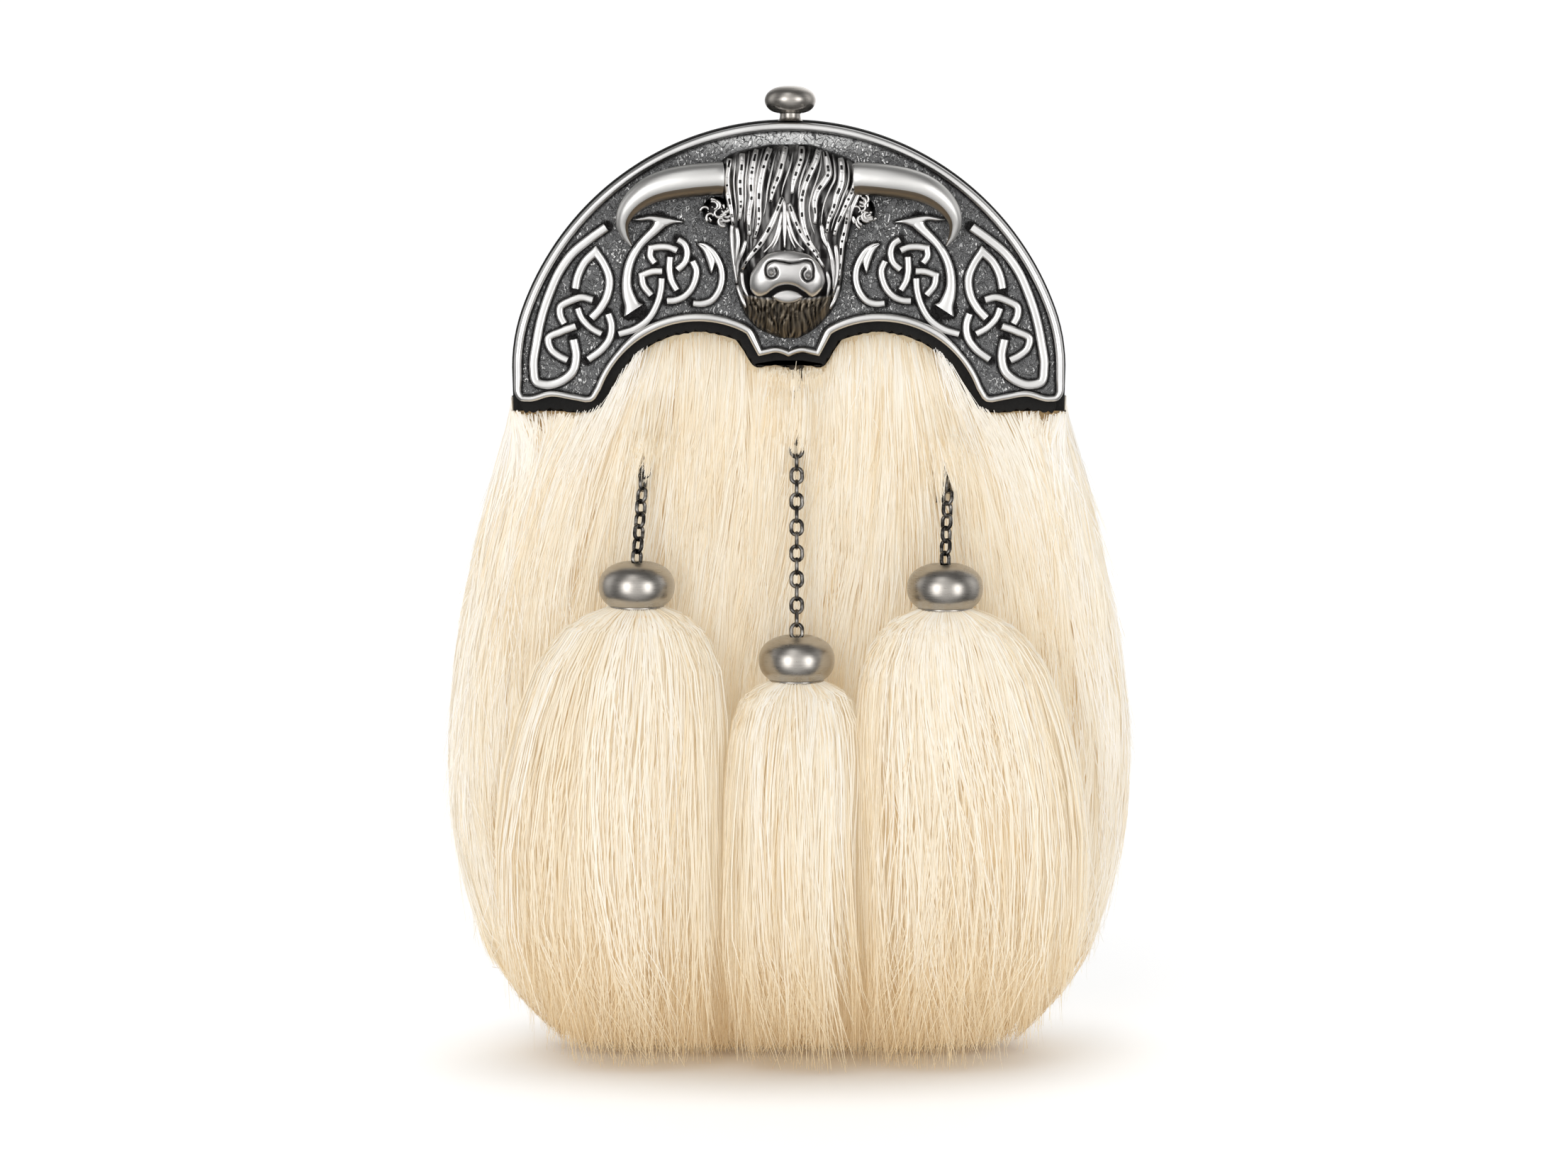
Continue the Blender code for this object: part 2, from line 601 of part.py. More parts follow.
HANGERS = [
    # name, the cap's x and z, the chain's x and depth at its top, links
    ("left", -46.6, 149.4, -44.7, -6.6, 9),
    ("center", 2.4, 126.7, 2.4, -5.2, 20),
    ("right", 47.8, 148.8, 49.2, -6.6, 9),
]
SIDE_TASSEL = [
    # height from the cap's middle, half width, half depth, middle depth, step aside
    (-6.6, 8.0, 8.0, -16.7, 0.0),
    (-8.4, 12.6, 10.5, -16.9, 0.0),
    (-11.0, 17.0, 12.0, -17.2, 0.3),
    (-20.0, 23.0, 13.5, -18.8, 0.8),
    (-38.0, 30.0, 16.3, -21.5, 4.0),
    (-70.0, 34.0, 17.0, -22.2, 8.0),
    (-110.0, 33.0, 16.0, -21.2, 7.5),
    (-132.0, 30.0, 14.0, -19.2, 5.0),
    (-146.0, 25.0, 11.0, -17.2, 2.0),
]
CENTER_TASSEL = [
    (-6.6, 8.0, 8.0, -16.7, 0.0),
    (-8.6, 12.0, 10.5, -17.0, 0.0),
    (-12.0, 15.4, 12.0, -17.6, -0.2),
    (-20.0, 18.6, 14.5, -19.8, -0.6),
    (-32.0, 20.2, 16.6, -22.0, -1.0),
    (-55.0, 20.2, 18.0, -23.0, -1.6),
    (-85.0, 20.2, 18.0, -23.0, -1.6),
    (-110.0, 19.0, 16.0, -21.0, 0.0),
    (-125.7, 15.0, 12.0, -17.4, 2.0),
]
TASSEL_POINTS = 16
TASSEL_GROOVE = 0.13


def link(name, middle, along, flat):
    """A stadium-shaped wire ring: along is its long axis and flat its width's."""
    radius = (LINK_WIDTH - 2.0 * WIRE) / 2.0
    straight = (LINK_LENGTH - LINK_WIDTH) / 2.0
    half = LINK_ROUND // 2
    rise = np.concatenate([np.linspace(0, np.pi, half), np.linspace(np.pi, 2 * np.pi, half)])
    shift = np.where(np.arange(LINK_ROUND) < half, straight, -straight)
    across = np.cos(rise) * radius
    up = np.sin(rise) * radius + shift
    outward = np.stack([np.cos(rise), np.sin(rise)], axis=1)
    normal = np.cross(along, flat)
    rings = []
    for a, u, (oa, ou) in zip(across, up, outward):
        turn = np.arange(WIRE_SIDES) * 2.0 * np.pi / WIRE_SIDES
        radial = flat * oa + along * ou
        ring = WIRE * (np.outer(np.cos(turn), radial) + np.outer(np.sin(turn), normal))
        rings.append(middle + flat * a + along * u + ring)
    return loft(name, rings, GUNMETAL, closed=True)


def make_chain(name, cap_x, cap_z, top_x, top_depth, links):
    """Links turned a quarter to each other, in a straight line from the post through the cap's
    hole. The side chains twist below their first link. Returns the first link's middle."""
    gate = np.array([cap_x, CAP_DEPTH, cap_z + CAP_RISE])
    reach = LINK_PITCH * (links - 1) - CHAIN_END
    rise = math.sqrt(reach ** 2 - (top_x - cap_x) ** 2 - (top_depth - CAP_DEPTH) ** 2)
    high = np.array([top_x, top_depth, gate[2] + rise])
    along = (high - gate) / reach
    low = gate - along * CHAIN_END
    sideways = np.cross(along, [0.0, 1.0, 0.0])
    sideways /= np.linalg.norm(sideways)
    forward = np.cross(sideways, along)
    twist = 0.0 if name == "center" else SIDE_TWIST
    rings = []
    for k in range(links):
        middle = high + (low - high) * k / (links - 1)
        turn = (k % 2) * math.pi / 2.0 + twist * min(k, 2) / 2.0
        flat = sideways * math.cos(turn) + forward * math.sin(turn)
        rings.append(link(f"chain_{name}_link_{k}", middle, along, flat))
    first = rings[0]
    first.name = f"chain_{name}"
    boolean(first, "UNION", rings[1:])
    return high


def make_post(name, high):
    """A headed pin through the fur: its shank holds the first link's upper end."""
    z = high[2] + LINK_LENGTH / 2.0 - 2.0 * WIRE - GAP - POST_RADIUS
    behind = FLANGE_DEPTH
    front = high[1] - WIRE - GAP
    profile = [
        (POST_RADIUS, behind), (POST_RADIUS, front), (POST_HEAD, front), (POST_HEAD, front - 0.6),
        (1.0, front - 1.1),
    ]
    pin(f"chain_post_{name}", high[0], z, profile, 7, GUNMETAL)
    return high[0], z


def make_cap(name, x, z):
    """A turned hollow cap, open below for the hair and with a hole above for the chain."""
    def wall(radius, rise, start, end, steps):
        t = np.linspace(start, end, steps + 1)
        return [(radius * math.cos(a), rise * math.sin(a)) for a in t]

    inner_radius, inner_rise = CAP_RADIUS - CAP_WALL, CAP_RISE - CAP_WALL
    top_out, top_in = math.acos(CAP_HOLE / CAP_RADIUS), math.acos(CAP_HOLE / inner_radius)
    low_out = math.asin(CAP_MOUTH / CAP_RISE)
    low_in = -math.acos(CAP_LIP / inner_radius)
    outside = wall(CAP_RADIUS, CAP_RISE, top_out, low_out, 5)
    inside = wall(inner_radius, inner_rise, low_in, top_in, 2)
    profile = [*outside, (CAP_LIP, CAP_MOUTH), *inside]
    return lathe(f"ball_cap_{name}", (x, CAP_DEPTH, z), profile, 12, STEEL, closed=True)


def make_tassel(name, x, z, rows, side):
    """Hair locks round a neck that stands up inside the cap."""
    turn = np.arange(TASSEL_POINTS) * 2.0 * np.pi / TASSEL_POINTS
    lock = np.where(np.arange(TASSEL_POINTS) % 2 == 0, 1.0, 1.0 - TASSEL_GROOVE)
    rings = []
    circle = np.stack([np.cos(turn), np.sin(turn), np.zeros(TASSEL_POINTS)], axis=1)
    for height in (NECK_TOP, NECK_LOW):
        rings.append(circle * NECK_RADIUS + [x, CAP_DEPTH, z + height])
    for height, half_width, half_depth, middle, aside in rows:
        ring = [
            x + side * aside + half_width * lock * np.cos(turn),
            middle + half_depth * lock * np.sin(turn),
            np.full(TASSEL_POINTS, z + height),
        ]
        rings.append(np.stack(ring, axis=1))
    return loft(f"tassel_{name}", rings, CREAM_HAIR)


def make_hangers():
    posts = []
    for name, cap_x, cap_z, top_x, top_depth, links in HANGERS:
        high = make_chain(name, cap_x, cap_z, top_x, top_depth, links)
        posts.append(make_post(name, high))
        make_cap(name, cap_x, cap_z)
        rows = CENTER_TASSEL if name == "center" else SIDE_TASSEL
        side = {"left": -1.0, "center": 1.0, "right": 1.0}[name]
        make_tassel(name, cap_x, cap_z, rows, side)
    return posts


make_cantle()
make_head()
make_knob()
make_backing()
make_pouch()
make_flap()
make_belt_loops()
make_fur(make_hangers())
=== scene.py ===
import math

import bpy
import numpy as np
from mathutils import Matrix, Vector


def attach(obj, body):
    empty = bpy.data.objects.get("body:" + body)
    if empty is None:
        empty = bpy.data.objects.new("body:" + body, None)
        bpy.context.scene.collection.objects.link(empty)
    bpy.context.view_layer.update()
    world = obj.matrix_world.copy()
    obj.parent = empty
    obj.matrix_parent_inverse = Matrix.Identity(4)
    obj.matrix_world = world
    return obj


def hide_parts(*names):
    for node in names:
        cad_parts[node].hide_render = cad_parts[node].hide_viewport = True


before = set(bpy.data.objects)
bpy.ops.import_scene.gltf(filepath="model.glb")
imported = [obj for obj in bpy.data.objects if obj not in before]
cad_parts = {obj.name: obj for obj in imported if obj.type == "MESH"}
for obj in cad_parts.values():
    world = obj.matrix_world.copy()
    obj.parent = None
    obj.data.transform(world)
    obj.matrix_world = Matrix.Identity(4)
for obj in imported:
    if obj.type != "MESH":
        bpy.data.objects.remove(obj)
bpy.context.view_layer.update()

# ---------------------------------------------------------------- camera, floor and light
# The view is the photograph's: a long lens in front, 5 degrees above level. The sporran stands on
# a pale floor that runs up into a pale backdrop, between large soft boxes.
MM = 0.001
VIEW_DISTANCE = 1150.3
VIEW_ELEVATION = math.radians(5)
VIEW_TARGET = Vector((-1.5, -8.9, 147.4)) * MM
LENS, SENSOR = 85, 36


def placed(name, data):
    """A new object in the scene."""
    made = bpy.data.objects.new(name, data)
    bpy.context.scene.collection.objects.link(made)
    return made


def facing(direction):
    """The rotation of a camera or lamp that looks along a direction."""
    return direction.to_track_quat("-Z", "Y").to_euler()


away = Vector((0, -math.cos(VIEW_ELEVATION), math.sin(VIEW_ELEVATION)))
camera = placed("camera", bpy.data.cameras.new("camera"))
camera.data.lens, camera.data.sensor_width = LENS, SENSOR
camera.location = VIEW_TARGET + away * VIEW_DISTANCE * MM
camera.rotation_euler = facing(-away)
bpy.context.scene.camera = camera
bpy.context.scene.view_settings.view_transform = "Standard"

AIM = Vector((0, 0, 0.15))
SOFT_BOXES = [  # name, place, width, height and radiance
    ("left_box", (-0.85, -1.75, 0.6), 0.6, 0.9, 2.6), ("right_box", (0.95, -1.7, 0.5), 0.5, 0.8, 1.8),
    ("high_box", (-0.5, -1.2, 1.6), 1.1, 0.8, 1.9), ("back_box", (0.4, 1.7, 1.1), 1.3, 0.7, 1.5),
]
for name, place, width, height, radiance in SOFT_BOXES:
    lamp = bpy.data.lights.new(name, "AREA")
    lamp.shape = "RECTANGLE"
    lamp.size, lamp.size_y = width, height
    lamp.energy = radiance * width * height * math.pi
    box = placed(name, lamp)
    box.location = place
    box.rotation_euler = facing(AIM - Vector(place))
    box.visible_camera = box.visible_glossy = False


class Wire:
    """A value in a node tree. Sums, products and powers of it add Math nodes."""

    def __init__(self, nodes, socket):
        self.nodes, self.socket = nodes, socket


for sign, operation in (("add", "ADD"), ("sub", "SUBTRACT"), ("mul", "MULTIPLY"), ("pow", "POWER")):
    setattr(Wire, f"__{sign}__", lambda one, other, kind=operation: one.nodes.math(kind, one, other))
    setattr(Wire, f"__r{sign}__", lambda one, other, kind=operation: one.nodes.math(kind, other, one))


class Nodes:
    """A node tree that is built from Wires."""

    def __init__(self, tree):
        self.tree = tree

    def node(self, kind, settings=None, inputs=None, output=0):
        """One node: its settings first (stops are a ramp's places and colours), then its
        sockets, each a value or a Wire."""
        made = self.tree.nodes.new("ShaderNode" + kind)
        for key, value in (settings or {}).items():
            if key != "stops":
                setattr(made, key, value)
                continue
            ramp = made.color_ramp
            for place, _ in value[1:-1]:
                ramp.elements.new(place)
            for element, (place, colour) in zip(ramp.elements, value):
                element.position, element.color = place, (*colour, 1)
        for key, value in (inputs or {}).items():
            self.join(value, made.inputs[key])
        return Wire(self, made.outputs[output])

    def join(self, value, socket):
        if isinstance(value, Wire):
            self.tree.links.new(value.socket, socket)
        else:
            socket.default_value = value

    def math(self, operation, first, second):
        return self.node("Math", {"operation": operation}, {0: first, 1: second})

    def vector(self, operation, first, second=(0, 0, 0), output=0):
        return self.node("VectorMath", {"operation": operation}, {0: first, 1: second}, output)

    def mix(self, factor, first, second):
        """A colour that is first at 0 and second at 1."""
        return self.node("Mix", {"data_type": "RGBA"}, {0: factor, 6: first, 7: second}, 2)


class Finish(Nodes):
    """A material built round one Principled shader, whose constant sockets are set by name."""

    def __init__(self, name, slot=None, **constants):
        self.material = bpy.data.materials.new(name)
        self.material.use_nodes = True
        self.slot = slot or name
        super().__init__(self.material.node_tree)
        self.set(**constants)

    def set(self, **values):
        for socket, value in values.items():
            self.join(value, self.tree.nodes["Principled BSDF"].inputs[socket.replace("_", " ")])

    def place(self):
        return self.node("TexCoord", output="Object")

    def value(self, name):
        """An attribute that rides on the mesh."""
        return self.node("Attribute", {"attribute_name": name}, output="Fac")

    def noise(self, scale, detail=2, distortion=0, stretch=(1, 1, 1)):
        """Noise on Object coordinates, scale waves to the metre."""
        place = self.node("Mapping", None, {"Vector": self.place(), "Scale": stretch})
        inputs = {"Vector": place, "Scale": scale, "Detail": detail, "Distortion": distortion}
        return self.node("TexNoise", None, inputs, "Fac")

    def ramp(self, factor, *stops):
        return self.node("ValToRGB", {"stops": stops}, {"Fac": factor}, "Color")

    def between(self, value, low, high):
        """0 at low, 1 at high and a smooth step between."""
        inputs = {"Value": value, "From Min": low, "From Max": high}
        return self.node("MapRange", {"interpolation_type": "SMOOTHSTEP"}, inputs, "Result")

    def bump(self, height, distance, strength=1):
        """The surface pushed out by height times distance millimetres."""
        inputs = {"Height": height, "Distance": distance * MM, "Strength": strength}
        return self.node("Bump", None, inputs, "Normal")


# The air is white for the eye and a little dimmer for hair and cloth. What the metal mirrors is a
# dim room with soft strips of light: each is its strength times a power of the cosine of the angle
# from its middle, in directions that are squashed so that the strips stand upright.
AIR_LIGHT, ROOM_LIGHT, SQUASH = 0.54, 0.14, 0.55
STRIPS = [
    # x, y and z towards its middle, sharpness, strength
    (-0.48, -0.88, 0.1, 50, 4.8), (0.6, -0.8, 0.08, 60, 4.8), (0, -1, 0, 4, 0.8),
    (-0.2, -0.55, 0.9, 24, 1.3), (-1, 0.1, 0.3, 20, 0.9), (1, 0.1, 0.3, 20, 0.9), (0.3, 1, 0.3, 6, 1.6),
]
world = bpy.data.worlds.new("studio")
bpy.context.scene.world = world
world.use_nodes = True
world.cycles.sampling_method = "NONE"
air = Nodes(world.node_tree)
ahead = air.vector("MULTIPLY", air.node("TexCoord", output="Generated"), (1, 1, SQUASH))
ahead = air.vector("NORMALIZE", ahead)
mirrored_light = ROOM_LIGHT
for x, y, z, sharpness, strength in STRIPS:
    cosine = air.vector("DOT_PRODUCT", ahead, Vector((x, y, z * SQUASH)).normalized(), 1)
    mirrored_light = air.math("MAXIMUM", cosine, 0) ** sharpness * strength + mirrored_light
matt_light = (AIR_LIGHT, AIR_LIGHT, AIR_LIGHT, 1)
light = air.mix(air.node("LightPath", output="Is Glossy Ray"), matt_light, mirrored_light)
light = air.mix(air.node("LightPath", output="Is Camera Ray"), light, (1, 1, 1, 1))
air.join(light, air.tree.nodes["Background"].inputs["Color"])

FLOOR_HALF, FLOOR_FRONT, BACKDROP_FOOT, BACKDROP_ROUND, BACKDROP_TOP = 4, -3, 2.2, 0.8, 3.2
run = np.linspace(0, math.pi / 2, 17)
floor_y = np.concatenate([[FLOOR_FRONT, 0, 1], BACKDROP_FOOT + BACKDROP_ROUND * np.sin(run),
                          [BACKDROP_FOOT + BACKDROP_ROUND]])
floor_z = np.concatenate([[0, 0, 0], BACKDROP_ROUND * (1 - np.cos(run)), [BACKDROP_TOP]])
floor_points = [(x, y, z) for y, z in zip(floor_y, floor_z) for x in (-FLOOR_HALF, FLOOR_HALF)]
floor_faces = [(2 * k, 2 * k + 1, 2 * k + 3, 2 * k + 2) for k in range(len(floor_y) - 1)]
floor_mesh = bpy.data.meshes.new("floor")
floor_mesh.from_pydata(floor_points, [], floor_faces)
floor_mesh.shade_smooth()
# The paper's own glow keeps it white, and fades close round the hair so that a soft shadow shows.
paper = Finish("pale_paper", Base_Color=(0.98, 0.98, 0.98, 1), Roughness=0.9, Emission_Strength=0.34)
around = {"Vector": paper.place(), "Location": (0, 0.004, 0), "Scale": (1, 1.7, 0)}
apart = paper.vector("LENGTH", paper.node("Mapping", None, around), output="Value")
paper.set(Emission_Color=paper.between(apart, 0.05, 0.15))
floor_mesh.materials.append(paper.material)
floor = placed("floor", floor_mesh)
floor.visible_glossy = False

# ---------------------------------------------------------------- cantle plate and rim
# The cantle is one casting in antiqued pewter: a plate with a chased ground, edged all round by
# a polished bead, with a flange behind. It is riveted over the pouch's front edge.
MIDDLE_DEPTH = 8.9  # depth runs backwards from the plate's face, and y is depth less this
CHART_AXIS, CHART_FOOT = 1113, 568  # the relief is charted in points on a front view
STEP = 170 / 776
FOOT_Z = 205
PLATE, FLANGE_DEPTH, FLANGE_WALL = 2, 6.7, 1.5
TOP_BEAD, LOWER_BEAD, BEAD_HEIGHT = 2.7, 2, 1.45
TOP_ARC, TOP_ROW = 398, 573  # the dome's large circle, in chart points
SIDE_ARC, SIDE_COLUMN, SIDE_ROW = 240, 964.5, 519  # and the left one of its small ones
ARCH, ARCH_RADIUS = (985, 600), 146  # the arch over the hair


def chart(points):
    """Columns and rows of the chart as x and z in millimetres."""
    points = np.asarray(points, dtype=float)
    x = (points[..., 0] - CHART_AXIS) * STEP
    z = FOOT_Z + (CHART_FOOT - points[..., 1]) * STEP
    return np.stack([x, z], axis=-1)


def share(value):
    """The value held between 0 and 1."""
    return np.clip(value, 0, 1)


def smooth(value):
    """0 below 0, 1 above 1 and a smooth step between."""
    value = share(value)
    return value * value * (3 - 2 * value)


def unit(vector):
    """The same direction at length one."""
    return vector / np.maximum(np.linalg.norm(vector, axis=-1, keepdims=True), 1e-6)


def ease(at, knots, values):
    """A smooth curve through values at knots: a cubic in each gap, whose slope at a knot is the
    slope between the knot's neighbours."""
    knots, values = np.asarray(knots, float), np.asarray(values, float)
    slope = np.gradient(values, knots, axis=0)
    at = np.asarray(at, float)
    i = np.clip(np.searchsorted(knots, at, side="right") - 1, 0, len(knots) - 2)
    gap = knots[i + 1] - knots[i]
    t = share((at - knots[i]) / gap)
    if values.ndim > 1:
        t, gap = t[..., None], gap[..., None]
    rise = smooth(t)
    bend = slope[i] * t * (1 - t) ** 2 - slope[i + 1] * t * t * (1 - t)
    return values[i] * (1 - rise) + values[i + 1] * rise + gap * bend


def evenly(points, count, end=1.0):
    """A smooth line through points, at so many equal steps from the first to the share end."""
    return ease(np.linspace(0, end, count), np.linspace(0, 1, len(points)), points)


def lengths(line):
    """Distance along a line at each of its points."""
    return np.concatenate([[0], np.cumsum(np.linalg.norm(np.diff(line, axis=0), axis=1))])


def along_line(at, along, line):
    """A line's points at given lengths along it."""
    return np.stack([np.interp(at, along, line[:, k]) for k in range(line.shape[1])], axis=1)


def stepped(line, step, closed=False):
    """The same line with points a step apart."""
    if closed:
        return stepped(np.concatenate([line, line[:1]]), step)[:-1]
    along = lengths(line)
    count = max(3, int(round(along[-1] / step)) + 1)
    return along_line(np.linspace(0, along[-1], count), along, line)


def curve(points, step=0.3):
    """A smooth line through points, with a point every step millimetres."""
    points = np.asarray(points, float)
    along = lengths(points)
    return stepped(ease(np.linspace(0, along[-1], 40 * len(points)), along, points), step)


def circle(count):
    """Angles at equal steps once round."""
    return np.linspace(0, 2 * np.pi, count + 1)[:-1]


def arc(middle, radius, start, end, count):
    """Points on a circle from one angle in degrees to another, anticlockwise from +x."""
    a = np.radians(np.linspace(start, end, count))
    return np.asarray(middle) + radius * np.stack([np.cos(a), np.sin(a)], axis=1)


def beside(line, closed=False):
    """The direction to the left of a flat line at each of its points."""
    ahead = np.roll(line, -1, axis=0) - np.roll(line, 1, axis=0) if closed else np.gradient(line, axis=0)
    return unit(ahead)[:, ::-1] * [-1, 1]


def mirrored(line):
    """The same points in x and z on the other side, in the opposite order."""
    return (line * [-1, 1])[::-1]


def deep(flat, depth):
    """Points of x and z set at a depth."""
    return np.stack([flat[..., 0], np.broadcast_to(depth, flat.shape[:-1]), flat[..., 1]], axis=-1)


def hills(x, y, seed):
    """Smooth random hills from 0 to 1: random heights on a unit lattice, blended in between."""
    table = np.random.default_rng(seed).random((61, 67))
    i, j = np.floor(x).astype(int), np.floor(y).astype(int)
    u, v = smooth(x - i), smooth(y - j)
    low = table[i % 61, j % 67] * (1 - u) + table[(i + 1) % 61, j % 67] * u
    high = table[i % 61, (j + 1) % 67] * (1 - u) + table[(i + 1) % 61, (j + 1) % 67] * u
    return low * (1 - v) + high * v


class Casting:
    """Grids of points gathered into one mesh, with values that ride on the points. Points are
    x, depth and z in millimetres."""

    def __init__(self):
        self.points, self.corners, self.sizes, self.values, self.count = [], [], [], {}, 0

    def add(self, grid, form="tube", **values):
        """Four-sided faces between the rows and columns of a grid, turned outwards. A tube's
        rows close on themselves and its two end rows are capped, a ring's rows and columns
        both close, and a strip is open. A grid with one more dimension in front holds many
        like pieces."""
        grid = grid if grid.ndim == 4 else grid[None]
        copies, rows, columns = grid.shape[:3]
        points = grid.reshape(-1, 3)
        index = np.arange(copies * rows * columns).reshape(copies, rows, columns)
        ends = np.zeros((0, columns), int)
        if form == "tube":
            ends = np.concatenate([index[:, 0, ::-1], index[:, -1]])
        if form != "strip":
            index = np.concatenate([index, index[:, :, :1]], axis=2)
        if form == "ring":
            index = np.concatenate([index, index[:, :1]], axis=1)
        faces = [index[:, :-1, :-1], index[:, :-1, 1:], index[:, 1:, 1:], index[:, 1:, :-1]]
        faces = np.stack(faces, axis=-1).reshape(-1, 4)
        if form != "strip":
            one = faces[:len(faces) // copies]
            a, b, c, d = (points[one[:, k]] - points[one].mean((0, 1)) for k in range(4))
            if np.sum(a * np.cross(b, c)) + np.sum(a * np.cross(c, d)) < 0:  # the volume
                faces, ends = faces[:, ::-1], ends[:, ::-1]
        self.corners += [faces.ravel() + self.count, ends.ravel() + self.count]
        self.sizes += [np.full(len(faces), 4), np.full(len(ends), columns)]
        self.points.append(points)
        for name in set(self.values) | set(values):
            value = np.broadcast_to(values.get(name, 0), (copies, rows, columns)).ravel()
            self.values.setdefault(name, [np.zeros(self.count)]).append(value)
        self.count += copies * rows * columns
        return self

    def piece(self, name, node, finish, sharp=40):
        """The mesh as an object in the scene that rides on the frame in place of a node."""
        points = np.concatenate(self.points) - [0, MIDDLE_DEPTH, 0]
        corners, sizes = np.concatenate(self.corners), np.concatenate(self.sizes)
        mesh = bpy.data.meshes.new(name)
        mesh.vertices.add(len(points))
        mesh.vertices.foreach_set("co", (points * MM).astype(np.float32).ravel())
        mesh.loops.add(len(corners))
        mesh.loops.foreach_set("vertex_index", corners.astype(np.int32))
        mesh.polygons.add(len(sizes))
        mesh.polygons.foreach_set("loop_start", (np.cumsum(sizes) - sizes).astype(np.int32))
        for key, parts in self.values.items():
            layer = mesh.attributes.new(key, "FLOAT", "POINT")
            layer.data.foreach_set("value", np.concatenate(parts).astype(np.float32))
        mesh.update(calc_edges=True)
        mesh.validate()
        mesh.shade_smooth()
        if sharp:
            mesh.set_sharp_from_angle(angle=math.radians(sharp))
        mesh.materials.append(finish.material)
        made = placed(name, mesh)
        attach(made, "root")
        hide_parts(node)


# The colour of the crevices and of the beads' sides: dark patina and painted shade.
DARK = (0.012, 0.011, 0.011, 1)

pewter = Finish("antique_pewter", Metallic=1)
ground = pewter.value("ground")  # 1 on the chased ground
# This value is 1 where the bead or strand is polished and 0 in the crevices and down the beads' sides, which
# are dark with patina and with painted shade.
worn = pewter.value("worn")  # 1 where the bead or strand is polished, 0 in the crevices
patch = pewter.between(pewter.noise(150), 0.44, 0.64)
strokes = pewter.noise(900, 3, 2.2, (1, 1, 0.6))
grain, smear = pewter.noise(2400), pewter.noise(60)
worm = pewter.noise(430, 1, 0.6) - 0.5
# The plate's top band is lightened as a painted highlight.
top_highlight = pewter.between(pewter.value("high"), 0, 1)
light_strokes = pewter.between(strokes, 0.5, 0.62) * (0.45 + 0.55 * patch)
trench = pewter.between(worm * worm, 0.0006, 0)
bright_part = light_strokes * 0.9 + top_highlight * (0.6 - 0.7 * trench) + (grain - 0.5) * 0.3
dull = pewter.ramp(bright_part, (0, (0.12, 0.12, 0.121)), (0.22, (0.2, 0.2, 0.2)),
                   (0.55, (0.5, 0.5, 0.495)), (0.9, (0.88, 0.87, 0.86)))
polished = pewter.ramp(smear, (0.3, (0.66, 0.65, 0.635)), (0.7, (0.8, 0.79, 0.775)))
relief = pewter.bump(light_strokes + grain * 0.25 + strokes * 0.5 - trench * 1.2, 0.3, 0.8)
fine_grain = pewter.bump(pewter.noise(700, 3), 0.04, 0.4)
pewter.set(Base_Color=pewter.mix(pewter.between(worn, 0.02, 0.7), DARK, pewter.mix(ground, polished, dull)),
           Roughness=0.31 + ground * 0.14 + (smear - 0.5) * 0.1,
           Normal=pewter.node("Mix", {"data_type": "VECTOR"}, {0: ground, 4: fine_grain, 5: relief}, 1))


def dome(grow, turn):
    """The cantle's top edge moved out by grow: a large circle with small ones over its last 20
    degrees. Turn runs in degrees from 180 at the left side to 0 at the right."""
    turn = np.asarray(turn, float)
    steep = np.abs(turn - 90) > 70
    column = np.where(steep, CHART_AXIS + np.sign(90 - turn) * (CHART_AXIS - SIDE_COLUMN), CHART_AXIS)
    middle = chart(np.stack([column, np.where(steep, SIDE_ROW, TOP_ROW)], axis=-1))
    radius = np.where(steep, SIDE_ARC, TOP_ARC) * STEP + grow
    a = np.radians(turn)
    return middle + radius[..., None] * np.stack([np.cos(a), np.sin(a)], axis=-1)


LOWER_EDGE = [  # of the left half: the foot's waved end, the arch over the hair, half of the notch
    [(724.5, 545), (726, 556), (733, 565), (745, 567), (779, 560), (805, 564), (826, 568)],
    [(826, 568), (834, 567), (840, 563)], [(1052, 470), (1056, 477), (1063, 490), (1070, 503)],
    [(1070, 503), (1084, 500), (1095, 498), (1104, 500), (1113, 504)],
]
SKIRT_FALL = 0.3


def bead(line, widths, height, sunk, side=None, crown=2.4, rows=13, base=0, bevel=0.35, skirt=(0, 0)):
    """A moulding along a line in x and z. Across it s runs from -1 to 1 and it stands
    height * sqrt(1 - |s| ** crown) proud of the face; its feet go straight down into it, or
    slope away under it over a skirt's width. Both ends draw in over the last bevel millimetres.
    Gives the points, and the rise, the length along the line and s at each."""
    along = lengths(line)
    side = beside(line) if side is None else side
    s = np.sin(np.linspace(-1, 1, rows) * np.pi / 2)
    rise = np.sqrt(np.maximum(1 - np.abs(s) ** crown, 0))
    s, rise = np.pad(s, 1, mode="edge"), np.pad(rise, 1)
    near = np.minimum(along, along[-1] - along)
    edge = np.sqrt(1 - (1 - share(near / bevel)) ** 2) if bevel else np.ones(len(line))
    tall = np.broadcast_to(height, len(line)) * (0.45 + 0.55 * edge)
    half = np.broadcast_to(widths, len(line)) / 2 * (0.8 + 0.2 * edge)
    across = half[:, None] * s
    depth = np.broadcast_to(np.asarray(base, float), len(line))[:, None] - tall[:, None] * rise
    for column, out, width in ((0, -1, skirt[0]), (-1, 1, skirt[1])):
        across[:, column] += out * width
        depth[:, column] += SKIRT_FALL if width else sunk
    flat = line[:, None] + side[:, None] * across[..., None]
    return deep(flat, depth), *(np.broadcast_to(value, depth.shape) for value in (rise, along[:, None], s))


